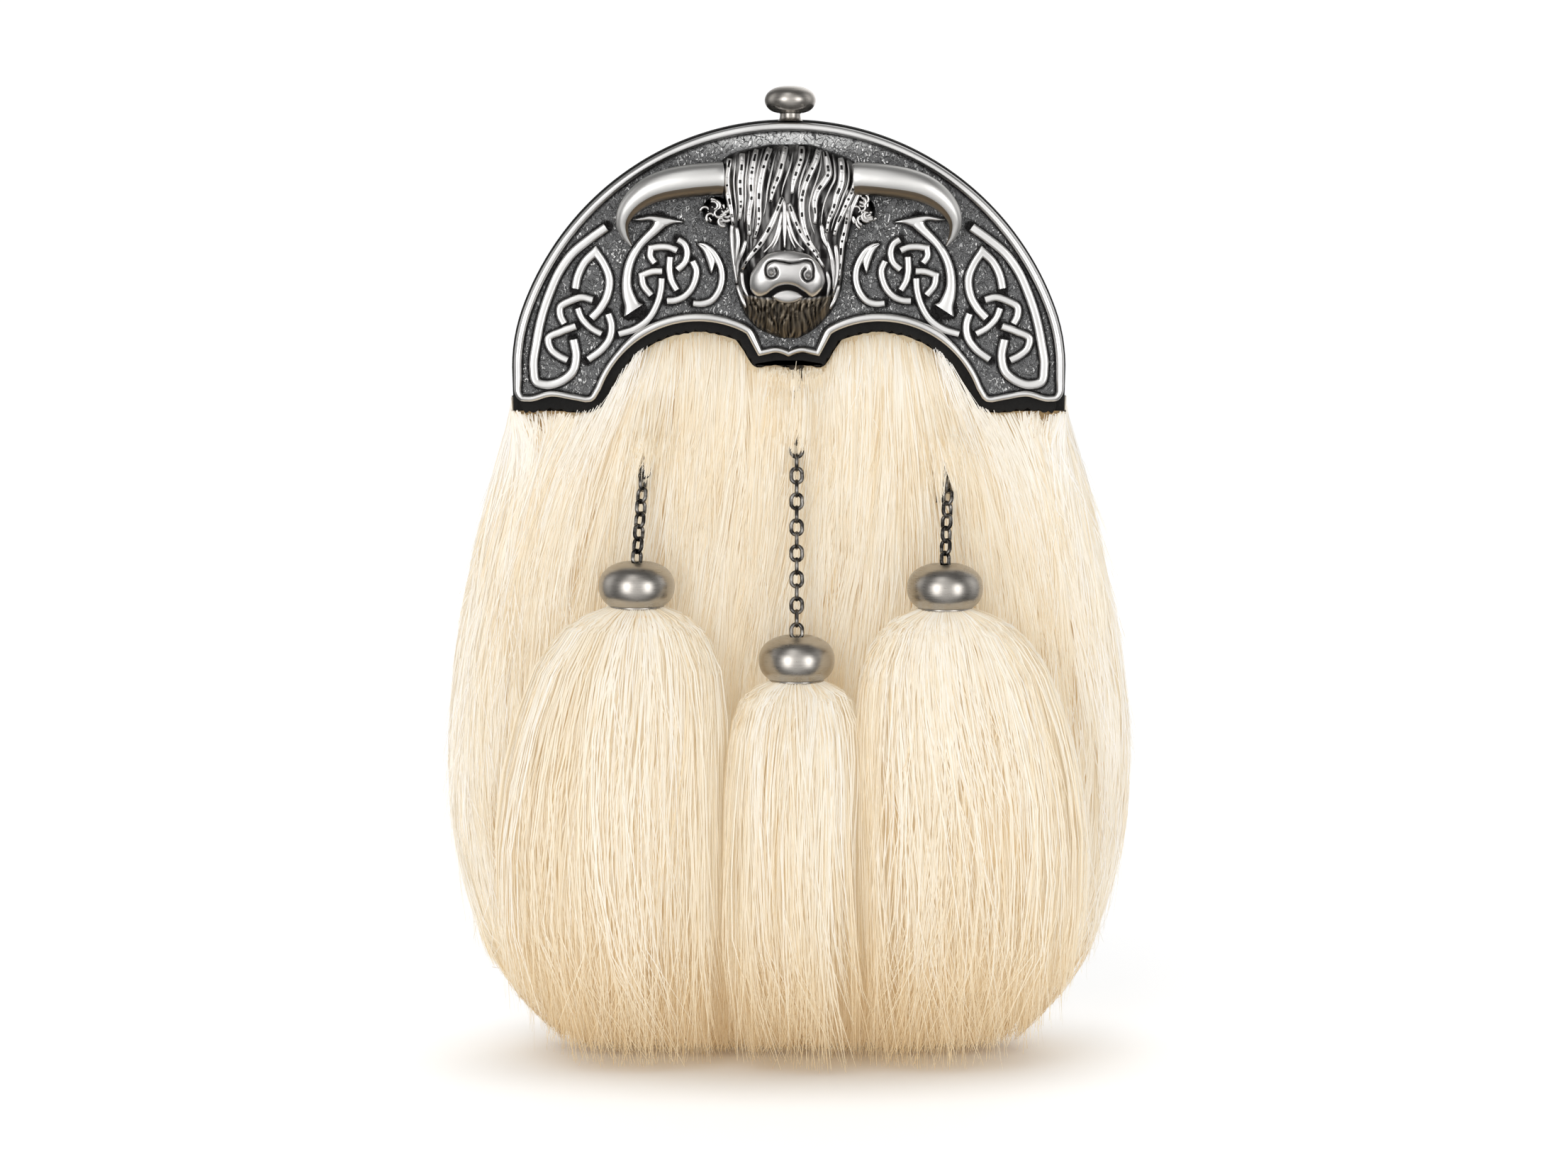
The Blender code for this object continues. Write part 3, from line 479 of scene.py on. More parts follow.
parts = [curve(chart(points)) for points in LOWER_EDGE]
parts.insert(2, chart(arc(ARCH, ARCH_RADIUS, 163, 66, 30) * [1, -1] + [0, 2 * ARCH[1]]))
lower = np.concatenate([parts[0], *[part[1:] for part in parts[1:]]])
lower_length = lengths(lower)
tip, arch_end = 125 * STEP, 378 * STEP  # lengths along the lower edge to the foot's tip, the arch's end
PAIRS = [  # length along the lower edge, turn on the dome that it is joined to
    (0, 180), (tip * 0.5, 171), (tip, 155), (arch_end, 101), (lower_length[-1], 90),
]
u = np.concatenate([np.linspace(0, tip, 50)[:-1], np.linspace(tip, arch_end, 100)[:-1],
                    np.linspace(arch_end, lower_length[-1], 30)])
low = along_line(u, lower_length, lower)
turn = np.interp(u, *np.array(PAIRS).T)
low = np.concatenate([low, mirrored(low)[1:]])
turn = np.concatenate([turn, (180 - turn)[::-1][1:]])
v = np.linspace(0, 1, 70)[:, None, None]
front = low * (1 - v) + dome(-1, turn) * v
rough = 0.12 * (hills(front[..., 0] / 0.9, front[..., 1] / 0.9, 3) - 0.5)
edge, inner = dome(0, turn), dome(-FLANGE_WALL, turn)
back = [(edge, PLATE), (edge, FLANGE_DEPTH), (inner, FLANGE_DEPTH), (inner, PLATE), (low, PLATE)]
plate = np.concatenate([deep(front, rough)] + [deep(line, depth)[None] for line, depth in back])
plate = plate.transpose(1, 0, 2)

outline = np.concatenate([dome(0, np.linspace(180, 0, 500)), lower * [-1, 1], lower[::-1][1:-1]])
outline = stepped(outline, 0.45, True)
inward = -beside(outline, True)
is_top = outline[:, 1] > np.interp(np.abs(outline[:, 0]), [0, 60, 84, 85], [222, 222, 211, 208])
is_top = np.convolve(np.pad(is_top.astype(float), 8, mode="wrap"), np.ones(17) / 17, "valid")
bead_width = LOWER_BEAD + (TOP_BEAD - LOWER_BEAD) * is_top
rim_line = outline + inward * bead_width[:, None] / 2
rim, rim_rise, _, _ = bead(rim_line, bead_width, BEAD_HEIGHT, PLATE * 0.7, side=inward, crown=2.1, rows=11,
                           bevel=0, skirt=(0, 0.6))

# Interlace: each strand of the left half, with its width in chart points, its line as (column,
# row[, own width]) and the numbers of the points where it turns sharply.
STRANDS = [
    # width, points, corners
    (9, [(977, 428, 8), (990, 429), (1003, 425), (1014, 412), (1019, 395), (1018, 380), (1013, 367, 9),
         (1005, 355, 8), (994, 347, 5), (985, 345, 2)], ()),
    (9, [(940, 425), (953, 424), (965, 419), (975, 409), (981, 396), (983, 383), (977, 368)], ()),
    (9, [(946, 362), (945, 380), (948, 397), (956, 411)], ()),
    (9, [(956, 338), (966, 345), (970, 357), (967, 370), (955, 382)], ()),
    (9, [(957, 355), (946, 350), (932, 349), (919, 351), (918, 362), (925, 373)], (3,)),
    (9, [(936, 383), (920, 384), (906, 389), (908, 402), (920, 418)], (2,)),
    (9, [(934, 392), (933, 408), (927, 430), (915, 450), (896, 464), (872, 472)], ()),
    (12, [(857, 321), (833, 338), (807, 360), (791, 382), (777, 412), (765, 447), (757, 485), (753, 520),
          (757, 539), (772, 543), (793, 537), (808, 524), (813, 505), (809, 478)], ()),
    (11, [(812, 409), (816, 390), (827, 369), (841, 356, 12), (852, 372), (860, 393), (857, 418), (847, 436),
          (834, 450)], (3,)),
    (10, [(838, 424), (821, 420), (805, 425), (791, 434), (791, 446), (797, 458)], ()),
    (9, [(815, 434), (821, 449), (834, 463), (850, 472)], ()),
    (10, [(814, 460), (792, 468), (774, 478), (777, 492), (788, 502), (802, 509)], ()),
    (10, [(858, 442), (863, 458), (861, 476), (850, 492), (829, 508)], ()),
]
LEAVES = [  # both edges of each pointed leaf, from its first tip to its last
    ([(893, 310), (905, 307), (920, 304), (935, 305), (950, 309), (965, 314)],
     [(893, 312), (905, 313), (919, 313), (935, 322), (950, 317), (965, 315)]),
    ([(921, 309), (920, 318), (905, 335), (895, 347), (887, 360), (881, 375), (878, 390), (877, 405),
      (878, 420), (881, 435), (879, 450)],
     [(944, 311), (940, 321), (915, 343), (905, 355), (897, 370), (893, 385), (892, 400), (894, 410),
      (899, 421), (903, 427), (910, 429)]),
    ([(984, 344), (998, 348), (1006, 357), (1010, 369), (1005, 386)],
     [(984, 345), (992, 356), (997, 368), (1000, 378), (1003, 387)]),
]
STRAND_HEIGHT = 1.2
STRAND_SPREAD = 1.7 * STEP
STRAND_FOOT = 0.4  # how far a strand goes down into the plate
# The dark skirt beside each strand is patina and painted shade.
PATINA_SHADE_SKIRT = (0.95, 0.95)  # the dark foot on both sides of a strand
FAR = 9.0  # farther than the dark patina and painted shade reach from a strand


def strand(width, points, corners):
    """A strand's line, its widths and the direction across it. At a corner that direction
    is mitred: the sum of the two sides over one plus the cosine between them."""
    table = [(*point[:2], point[2] if len(point) > 2 else width) for point in points]
    cuts = [0, *corners, len(points) - 1]
    rows = np.zeros((0, 5))
    for first, last in zip(cuts, cuts[1:]):
        part = np.array(table[first:last + 1], float)
        knots = lengths(part[:, :2])
        at = np.linspace(0, knots[-1], max(4, int(knots[-1] * STEP / 0.33)))
        spot = part[0] + (part[-1] - part[0]) * (at / knots[-1])[:, None]
        if len(part) > 2:
            spot = ease(at, knots, part)
        line = chart(spot[:, :2])
        side = beside(line)
        if len(rows):
            side[0] = (rows[-1, 2:4] + side[0]) / (1 + rows[-1, 2:4] @ side[0])
        rows = np.concatenate([rows[:-1], np.column_stack([line, side, spot[:, 2] * STEP])])
    return rows[:, :2], rows[:, 2:4], rows[:, 4]


def leaf(one, other, height, sunk, count=70, crown=2.6, base=0, skirt=(0, 0)):
    """A raised leaf between two edges: a bead whose width is the distance between them."""
    one, other = (evenly(chart(edge), count) for edge in (one, other))
    widths = np.linalg.norm(other - one, axis=1)
    height = height * np.clip(widths / (6 * STEP), 0.25, 1) ** 0.5
    return bead((one + other) / 2, widths, height, sunk, unit(other - one), crown, base=base, skirt=skirt)


beads = []
for width, points, corners in STRANDS:
    line, side, widths = strand(width, points, corners)
    widths = widths + STRAND_SPREAD
    height = STRAND_HEIGHT * np.clip(widths / (9 * STEP), 0.4, 1)
    made = bead(line, widths, height, STRAND_FOOT, side=side, crown=3.4, skirt=PATINA_SHADE_SKIRT)
    beads.append((line, widths, made))
for one, other in LEAVES:
    made = leaf(one, other, STRAND_HEIGHT, STRAND_FOOT, skirt=PATINA_SHADE_SKIRT)
    widths = np.linalg.norm(made[0][:, 1] - made[0][:, -2], axis=1)
    beads.append((made[0][:, 1:-1].mean(1)[:, [0, 2]], widths, made))

flat = front.reshape(-1, 2)
place = np.stack([-np.abs(flat[:, 0]), flat[:, 1]], axis=1)
gap = np.full(len(flat), FAR)
for line, widths, _ in beads:
    chosen = np.all((place > line.min(0) - 3) & (place < line.max(0) + 3), axis=1)
    apart = np.linalg.norm(place[chosen, None] - line[None, ::2], axis=2) - widths[None, ::2] / 2
    gap[chosen] = np.minimum(gap[chosen], apart.min(1))
for part in np.array_split(np.arange(len(flat)), 5):
    apart = np.linalg.norm(flat[part, None] - rim_line[None, ::3], axis=2) - bead_width[None, ::3] / 2
    gap[part] = np.minimum(gap[part], apart.min(1))
gap = gap.reshape(front.shape[:2])
# Next to the strands and the rim the ground is dark with patina and with painted shade; farther off it shows
# its chased colour.
worn = 0.1 + 0.9 * share((gap - 0.2) / 1.3)
# Where the plate's top band is lightened as a painted highlight.
high = share((front[..., 1] - 279) / 8) * share(1 - np.abs(front[..., 0]) / 62) ** 0.3
behind = np.ones((len(turn), plate.shape[1] - front.shape[0]))
cantle = Casting()
cantle.add(plate, ground=1, worn=np.concatenate([worn.T, 0.5 * behind], axis=1),
           high=np.concatenate([high.T, 0 * behind], axis=1))
# The rim's bead is polished on top and darker down its sides and on its skirt: painted shade.
cantle.add(rim, "ring", worn=rim_rise * 1.3 - 0.1)
cantle.piece("cantle_plate", "cantle", pewter, 50)

knotwork = Casting()
for _, _, (grid, rise, _, _) in beads:
    for flip in (1, -1):
        # Each strand is polished on top and darker down its sides and on its skirt: painted shade.
        knotwork.add(grid * [flip, 1, 1], worn=rise * 1.3 - 0.15)
knotwork.piece("cantle_interlace", "cantle", pewter, 50)

# ---------------------------------------------------------------- highland cow's head
# The head is cast on its own in darkened pewter and pinned to the plate: a deep relief with long
# locks over the brow, a polished muzzle, a beard, curled tufts at the ears and satin horns.
HEAD_ROWS = np.array([
    # row, left edge, right edge, relief of the middle in millimetres
    (206, 1084, 1144, 2.2), (214, 1046, 1168, 4.2), (226, 1021, 1198, 5.6), (244, 1018, 1217, 6.8),
    (270, 1020, 1217, 7.6), (305, 1025, 1206, 8.2), (338, 1029, 1197, 8.8), (356, 1031, 1194, 9.2),
    (372, 1033, 1192, 9.4), (392, 1036, 1190, 9.4), (410, 1038, 1187, 8.8), (420, 1041, 1183, 8.2),
    (434, 1046, 1177, 7.6), (452, 1057, 1163, 6.3), (468, 1077, 1144, 4.4), (477, 1100, 1128, 2.6),
])
HEAD_EDGE, HEAD_BACK = 1.2, -0.3
HAIR_SINK = 0.8  # how much lower the face is where locks lie on it
NOSE = 1111  # the muzzle's middle column
CHIN = 420  # the row where the beard starts
FACE_ROWS, FACE_COLUMNS = 150, 110


def head_relief(column, row):
    """Height of the face over the plate: from the edge it rises to the middle's relief by
    (1 - |s| ** full) ** 0.55, with s from -1 to 1 across the face, fuller under the brow."""
    left, right, middle = np.moveaxis(ease(row, HEAD_ROWS[:, 0], HEAD_ROWS[:, 1:]), -1, 0)
    s = np.clip((column - (left + right) / 2) / ((right - left) / 2), -1, 1)
    full = np.interp(row, [280, 330], [5, 2.6])
    height = HEAD_EDGE + (middle - HEAD_EDGE) * (1 - np.abs(s) ** full) ** 0.55
    muzzle = share((row - 352) / 14) * share((0.86 - np.abs(s)) / 0.12)
    return height - HAIR_SINK * (1 - muzzle)


def over(columns, rows, height):
    """Points of the head from chart columns and rows and a height over the plate."""
    return deep(chart(np.stack([columns, rows], axis=-1)), -height)


row = np.linspace(HEAD_ROWS[0, 0], HEAD_ROWS[-1, 0], FACE_ROWS)[:, None] * np.ones(FACE_COLUMNS)
left, right = (ease(row, HEAD_ROWS[:, 0], HEAD_ROWS[:, k]) for k in (1, 2))
s = np.sin(np.linspace(-1, 1, FACE_COLUMNS) * np.pi / 2 * 0.97) / math.sin(math.pi / 2 * 0.97)
column = (left + right) / 2 + s * (right - left) / 2
chin = row - CHIN + 8 * s * s
beard = share(chin / 5) * share((1.02 - np.abs(s)) / 0.1)
comb = np.sin((column - CHART_AXIS) * 0.8 + 9 * hills(column / 13, row / 22, 5))
fine = np.sin((column - CHART_AXIS) * 1.5 + 9 * hills(column / 9, row / 15, 6))
face = head_relief(column, row) + beard * (0.36 * comb + 0.16 * fine)
streak = hills(column / 2.6 + 3 * hills(column / 30, row / 40, 7), row / 26, 12)
# The face between and round the locks is dark with patina and with painted shade, darker still at its edges
# and round the muzzle as painted shade, lighter in random streaks and on the beard's combed ridges.
face_patina_and_shade = 0.12 + 0.26 * share(streak * 2 - 0.7) * (1 - beard) * share((1 - np.abs(s)) / 0.06)
face_patina_and_shade = face_patina_and_shade * (1 - 0.8 * np.exp(-((row - 408) / 22) ** 4) * (np.abs(column - NOSE) < 62))
face_patina_and_shade = face_patina_and_shade + beard * (0.36 + 0.22 * comb + 0.14 * fine) * (1 - 0.5 * s * s)
face_patina_and_shade = face_patina_and_shade + 0.5 * beard * np.exp(-(chin / 7) ** 2)
head = Casting()
sides = over(column[:, [0, -1]], row[:, [0, -1]], np.full((FACE_ROWS, 2), -HEAD_BACK))
head.add(np.concatenate([sides[:, :1], over(column, row, face), sides[:, 1:]], axis=1),
         worn=np.pad(face_patina_and_shade, ((0, 0), (1, 1))), beard=np.pad(beard, ((0, 0), (1, 1))))

BROW = [  # the combed locks of the brow from left to right, each a line from its root to its tip
    [(1030.5, 226), (1026, 261), (1029.4, 283), (1032.7, 301), (1035, 318)],
    [(1048, 219), (1047, 239), (1045, 257), (1045, 270), (1046, 288), (1044, 313)],
    [(1068, 213), (1063.6, 232.6), (1061, 248), (1060, 266), (1061, 279), (1058, 296.6), (1057, 314),
     (1058, 334)],
    [(1087, 211), (1080, 230), (1075, 250), (1072, 268), (1071, 288), (1071, 314), (1065, 338)],
    [(1109, 209), (1104, 230), (1098, 252), (1091, 270), (1087, 288)],
    [(1131, 209), (1130, 226), (1124, 244), (1119, 261), (1117, 276)],
    [(1155, 213), (1151, 228), (1142, 248), (1135, 266), (1131, 283), (1131, 301), (1133, 316),
     (1137.6, 332), (1144, 345), (1155, 360.6)],
    [(1163, 216), (1167, 235), (1168, 248), (1162, 259), (1153, 272), (1148.6, 288), (1150, 305),
     (1149, 318)],
    [(1185, 225), (1187, 244), (1186, 261), (1179.5, 279), (1175, 296.6), (1168, 314), (1166, 330)],
    [(1204, 232.6), (1207, 250), (1204, 266), (1196, 284), (1188, 302), (1180, 320), (1176, 334)],
]
BROW_WIDTH, RIDGE_WIDTH = 10.5, 3.6
LOCKS = [  # width in chart points, then the line: the nose's ridges and the long locks of the cheeks
    (10, [(1104, 280), (1096, 300), (1086, 323), (1072, 346), (1056, 366), (1047, 382)]),
    (9, [(1113, 288), (1122, 314), (1133, 336), (1149, 357), (1162, 378)]),
    (6, [(1106.5, 284), (1107, 312), (1107, 350)]),
    (5, [(1103, 300), (1098, 324), (1089, 345), (1078, 357)]),
    (5, [(1110, 298), (1115, 322), (1124, 343), (1134, 354)]),
    (4, [(1102, 318), (1097, 338), (1090, 352)]),
    (4, [(1111, 318), (1116, 338), (1122, 351)]),
    (7, [(1040, 322), (1042, 342), (1040, 362), (1036, 384)]),
    (8, [(1033, 318), (1034, 345), (1037, 372), (1040, 400)]),
    (7, [(1053, 340), (1049, 354), (1042, 372), (1041, 392)]),
    (7, [(1047, 384), (1049, 402), (1056, 420)]),
    (7, [(1165, 340), (1172, 362), (1175, 386), (1175, 408)]),
    (9, [(1196, 290), (1193, 318), (1187, 345), (1185, 370), (1183, 396)]),
    (8, [(1214, 262), (1208, 279), (1200, 298), (1195, 320), (1192, 342)]),
    (7, [(1158, 318), (1161, 336), (1168, 352)]),
    (8, [(1178, 346), (1180, 368), (1179, 392), (1175, 414)]),
    (6, [(1166, 384), (1169, 402), (1166, 420)]),
    (7, [(1040, 402), (1046, 418), (1053, 434)]),
    (7, [(1183, 402), (1178, 420), (1170, 436)]),
]
LOCKS += [(BROW_WIDTH, line) for line in BROW]
for one, other in zip(BROW, BROW[1:]):  # a low ridge midway between neighbouring locks
    LOCKS.append((RIDGE_WIDTH, (evenly(one, 7, 0.94) + evenly(other, 7, 0.94)) / 2))
for number, (width, points) in enumerate(LOCKS):
    points = np.array(points, float)
    knots = lengths(points)
    at = np.linspace(0, knots[-1], int(knots[-1] / 2))
    line = ease(at, knots, points)
    t = at / knots[-1]
    widths = width * STEP * (0.6 + 0.45 * np.sin(np.pi * share(t * 1.1 + 0.06)) ** 0.5)
    widths *= 0.9 + 0.25 * hills(t * 6, np.full(len(t), number * 3.7), 9)
    tall = 1.1 * min(1, 0.35 + width / 16)
    grid, rise, along, across = bead(chart(line), widths, tall, 0.7, crown=3.4, rows=9,
                                     base=-head_relief(line[:, 0], line[:, 1]), bevel=1.8)
    cheek = 0.62 if abs(points[-1, 0] - NOSE) > 52 else 0.9
    # Each lock's polish: duller near the crown and on the outer cheeks, darker down its sides as painted
    # shade, and duller still on the thin ridges.
    lock_wear_and_shade = np.interp(line[:, 1], [208, 226, 240], [0.4, 0.75, 1])
    lock_wear_and_shade = lock_wear_and_shade * np.interp(line[:, 1], [322, 350], [1, cheek])
    lock_wear_and_shade = lock_wear_and_shade[:, None] * (0.15 + 0.95 * rise) * (1 if width > 3.8 else 0.5)
    head.add(grid, worn=lock_wear_and_shade, lock=float(width > 8), run=along + number * 9, middle=across)

# Muzzle: a pad between two edges, domed over its height, with nostrils and the fold that joins them.
PAD_TOP = [(1058, 396), (1061, 383), (1069, 371.6), (1077, 363), (1087, 357), (1111, 353), (1137.6, 358),
           (1147, 364), (1155, 371.6), (1161, 383), (1164, 396)]
PAD_LOW = [(1058, 398), (1060, 411), (1070, 419), (1082, 416), (1095.6, 406), (1109, 402.5), (1122, 405),
           (1135, 413.5), (1146, 420), (1158, 411), (1164, 398)]
FOLD = [(1094.5, 380.4), (1096.3, 386), (1093.4, 391.4), (1087.9, 393), (1082.8, 390.3), (1080.6, 383.7),
        (1081, 377), (1084, 372.2), (1091.2, 369), (1102.3, 370), (1114.4, 372), (1126.5, 371),
        (1137.6, 368.3), (1144.2, 370.5), (1147, 377), (1147, 386), (1146, 393.6), (1140.9, 397),
        (1135.4, 395.4), (1132.3, 390.3), (1132.7, 384.4), (1135.8, 380.4)]
NOSTRILS = [(1088.5, 385.5), (1140, 389.5)]
LIP_TOP = [(1089, 418), (1098, 411), (1111, 408), (1124, 411), (1133, 418)]
LIP_LOW = [(1089, 419), (1098, 425.5), (1111, 428), (1124, 425.5), (1133, 419)]
t = np.linspace(0, 1, 120)[:, None]
w = np.sin(np.linspace(-1, 1, 60) * np.pi / 2) * 0.5 + 0.5
pad = evenly(PAD_TOP, 120)[:, None] * (1 - w)[:, None] + evenly(PAD_LOW, 120)[:, None] * w[:, None]
column, row = pad[..., 0], pad[..., 1]
swell = (1 - np.abs(2 * w - 1) ** 2.6) ** 0.5 * (1 - np.abs(2 * t - 1) ** 5) ** 0.5
apart = [np.linalg.norm(pad[:, :, None] - spot, axis=3).min(2) for spot in np.array_split(curve(FOLD, 1), 3)]
groove = np.exp(-(np.min(apart, axis=0) / 2.1) ** 2)
nostril = np.min([np.hypot(column - x, row - y) for x, y in NOSTRILS], axis=0)
curl = np.exp(-(nostril / 1.9) ** 2)
cave = np.exp(-(nostril / 6.5) ** 4) * (1 - curl)
height = head_relief(column, row) + 2.3 * swell - 0.8 * np.maximum(groove, 0.8 * cave) * swell + 0.4 * curl
# The muzzle's polish: bright over the pad's swell and the nostrils' curls, dark in the fold and the nostrils
# with patina and with painted shade.
muzzle_wear_and_shade = share(0.2 + swell) * (1 - 0.95 * np.maximum(groove, 0.9 * cave)) + 0.6 * curl
sides = column[:, [0, -1]], row[:, [0, -1]]
foot = over(*sides, head_relief(*sides) - 0.8)
head.add(np.concatenate([foot[:, :1], over(column, row, height), foot[:, 1:]], axis=1),
         worn=np.pad(muzzle_wear_and_shade, ((0, 0), (1, 1))))
lip, lip_rise, _, _ = leaf(LIP_TOP, LIP_LOW, 1.3, 0.8, count=40, crown=2, base=-8.4)
# The lip is darker towards its edges: painted shade.
head.add(lip, worn=0.2 + 0.8 * lip_rise)

# Ear tufts: short curls of a spiral each, darker down their sides as painted shade, heaped on a boss that is
# dark with patina and with painted shade.
EAR = (102, 299)  # columns from the axis, and row
EAR_CURLS, CURL_POINTS = 20, 22
EAR_BOSS = np.array([(0.2, 5), (1.6, 4.9), (3.2, 4.2), (4.3, 2.6), (4.4, 0.2)])  # radius and height
rng = np.random.default_rng(11)
for side in (-1, 1):
    middle = np.array([CHART_AXIS + side * EAR[0], EAR[1]])
    for number in range(EAR_CURLS):
        start, ring = rng.random() * 2 * np.pi, 3 + 13 * rng.random()
        heap = middle + ring * np.array([math.cos(start), math.sin(start)])
        sweep = start + np.linspace(0, 3.6 + rng.random(), CURL_POINTS)
        size = np.linspace(8.5, 2.4, CURL_POINTS)
        line = chart(heap + size[:, None] * np.stack([np.cos(sweep), np.sin(sweep)], axis=1))
        widths, base = np.linspace(1.25, 0.8, CURL_POINTS), -3.2 - 1.5 * rng.random()
        grid, rise, _, _ = bead(line, widths, 0.9, 1, rows=7, base=base)
        head.add(grid, worn=1.1 * rise - 0.15)
    spread = EAR_BOSS[:, :1, None] * np.stack([np.cos(circle(24)), np.sin(circle(24))], axis=-1)
    head.add(deep(chart(middle) + spread, -EAR_BOSS[:, 1:]), worn=0.05)

# Horns: a tapered tube along a line, round in section. The underside is brown, as antiquing and as painted
# shade, with a dark line along its edge, and the sides that face the plate are darker: painted shade.
HORN = [
    # column, row, height of the middle over the plate, radius
    (1019, 254, 4.3, 5.1), (1008, 254, 4.7, 5), (975, 257, 5.1, 5), (945, 262, 5.1, 4.75),
    (920, 270, 5.1, 4.25), (900, 283, 4.9, 3.6), (886, 299, 4.6, 2.9), (880, 316, 4.2, 2.1),
    (883, 333, 3.7, 1.3), (892, 348, 3.2, 0.25),
]
spots = evenly(HORN, 80)
turn = circle(32)
for side in (-1, 1):
    line = over(*spots[:, :3].T) * [-side, 1, 1]
    ahead = unit(np.gradient(line, axis=0))
    inner = unit(np.cross(ahead, [0, 1, 0]) * side)
    outer = np.cross(ahead, inner) * side
    spread = inner[:, None] * np.cos(turn)[:, None] + outer[:, None] * np.sin(turn)[:, None]
    below = -np.cos(turn) * np.ones((80, 1))
    brink = 1 - 0.6 * np.exp(-((below - 0.44) / 0.07) ** 2)
    head.add(line[:, None] + spread * spots[:, 3, None, None], horn=1, under=share((below - 0.42) / 0.14),
             worn=np.clip(0.3 - 0.9 * spread[..., 1], 0.1, 1) * brink)

casting = Finish("dark_pewter", Metallic=1)
worn, lock, beard = map(casting.value, ("worn", "lock", "beard"))
horn, under, middle = map(casting.value, ("horn", "under", "middle"))
smear = casting.noise(110, 3)
run = {"W": casting.value("run"), "Scale": 0.42, "Detail": 1}
pits = casting.node("TexNoise", {"noise_dimensions": "1D"}, run)
# Pits along the middles of the long locks, sunk by the bump and darkened as patina and painted shade.
bored = casting.between(pits, 0.51, 0.56) * casting.between(middle * middle, 0.16, 0.05) * lock
bright = casting.ramp(smear, (0.3, (0.6, 0.585, 0.57)), (0.7, (0.78, 0.765, 0.75)))
brown = casting.ramp(smear, (0.35, (0.2, 0.165, 0.12)), (0.65, (0.34, 0.285, 0.215)))
# The horn's colour: pale satin above, and brown on the underside as antiquing and painted shade.
satin = casting.between(under + (smear - 0.5) * 0.5, 0.3, 0.6)
satin = casting.mix(satin, (0.72, 0.71, 0.69, 1), (0.27, 0.22, 0.165, 1))
body = casting.mix(horn, casting.mix(beard, bright, brown), satin)
casting.set(Base_Color=casting.mix(casting.between(worn - bored * 0.9, 0.12, 0.8), DARK, body),
            Roughness=0.24 + smear * 0.12 + horn * 0.08 + beard * 0.12,
            Normal=casting.bump(casting.noise(700, 3) * 0.4 - bored * 3, 0.12, 0.6))
head.piece("highland_cow_head", "cow_head", casting, 60)

# ---------------------------------------------------------------- knob
# A turned steel knob stands on the flange's top: a flattened head on a short waisted neck.
KNOB_PROFILE = [  # radius, height over the flange
    (3.85, 0), (3.6, 0.3), (3.3, 0.8), (3.2, 1.4), (3.2, 2.3), (4.2, 2.5), (5.9, 3.1), (7.3, 4.4), (7.9, 6.2),
    (7.3, 8.2), (5.4, 9.8), (2.6, 10.6), (0.05, 10.7),
]


def lathe(x, depth, z, profile, sides=64):
    """Turned about a vertical line: rows of radius and height, swung through equal angles."""
    turn = circle(sides)
    radius, height = profile[:, :1], profile[:, 1:]
    x, depth = x + radius * np.cos(turn), depth + radius * np.sin(turn)
    return np.stack([x, depth, z + height + 0 * turn], axis=-1)


steel = Finish("satin_steel", Metallic=1)
grain, cloud = steel.noise(300, 4, 0, (1, 1, 9)), steel.noise(90)
tint = steel.ramp(cloud * 0.6 + grain * 0.4, (0.3, (0.36, 0.335, 0.305)), (0.7, (0.52, 0.49, 0.45)))
steel.set(Base_Color=tint, Roughness=0.2 + grain * 0.12 + cloud * 0.06, Normal=steel.bump(grain, 0.02, 0.35))
knob_x, knob_z = chart((1115, 174))
knob = lathe(knob_x, FLANGE_DEPTH / 2, knob_z + 0.3, curve(KNOB_PROFILE))
Casting().add(knob).piece("top_knob_turned", "top_knob", steel)

# ---------------------------------------------------------------- leather
# The pouch is black grained leather, 2 mm thick: a backing strip behind the cantle, a front, a
# gusset and a back with a mouth under a flap, and two loops for the strap, all saddle-stitched.
LEATHER = 2
PANEL_FRONT, GUSSET_FRONT, GUSSET_BACK = 7, 9.3, 49
BACK_FRONT, BACK_BACK, FLAP_FRONT = 49.3, 51.3, 51.6
FLAP_BACK = FLAP_FRONT + LEATHER
BACKING_FOOT = [(735, 576), (741, 583), (779, 577), (808, 582), (829, 581), (846, 574)]
BACKING_NOTCH = [(1046, 486), (1055, 502), (1065, 518), (1094, 513), (1113, 518)]
BACKING_SHOWS = 2.9  # width of the backing under the arch
CORNER_X, CORNER_Z, CORNER_RADIUS = 38, 95, 45  # the pouch's lower corner

hide = Finish("black_leather", Specular_IOR_Level=0.2)
pebble = {"Vector": hide.place(), "Scale": 900}
pebble = hide.node("TexVoronoi", {"feature": "SMOOTH_F1"}, pebble, "Distance")
crease = hide.noise(260, 5, 0.6)
tint = hide.noise(45) * 0.6 + crease * 0.4
hide.set(Base_Color=hide.ramp(tint, (0.3, (0.005, 0.0047, 0.0044)), (0.7, (0.013, 0.012, 0.011))),
         Roughness=0.5 + crease * 0.2 + pebble * 0.1,
         Normal=hide.bump(pebble * 0.8 + crease * 0.5, 0.28, 0.75))
thread = Finish("waxed_thread", "black_leather")
thread.set(Base_Color=thread.ramp(thread.noise(400), (0.3, (0.02, 0.018, 0.016)), (0.7, (0.05, 0.045, 0.04))),
           Roughness=0.5 + thread.noise(900) * 0.3)


def grown(outline, by):
    """A closed outline moved outwards by so many millimetres at every point."""
    x, z = outline.T
    swept = np.sum(x * np.roll(z, -1) - z * np.roll(x, -1))
    return outline + beside(outline, True) * (by if swept < 0 else -by)


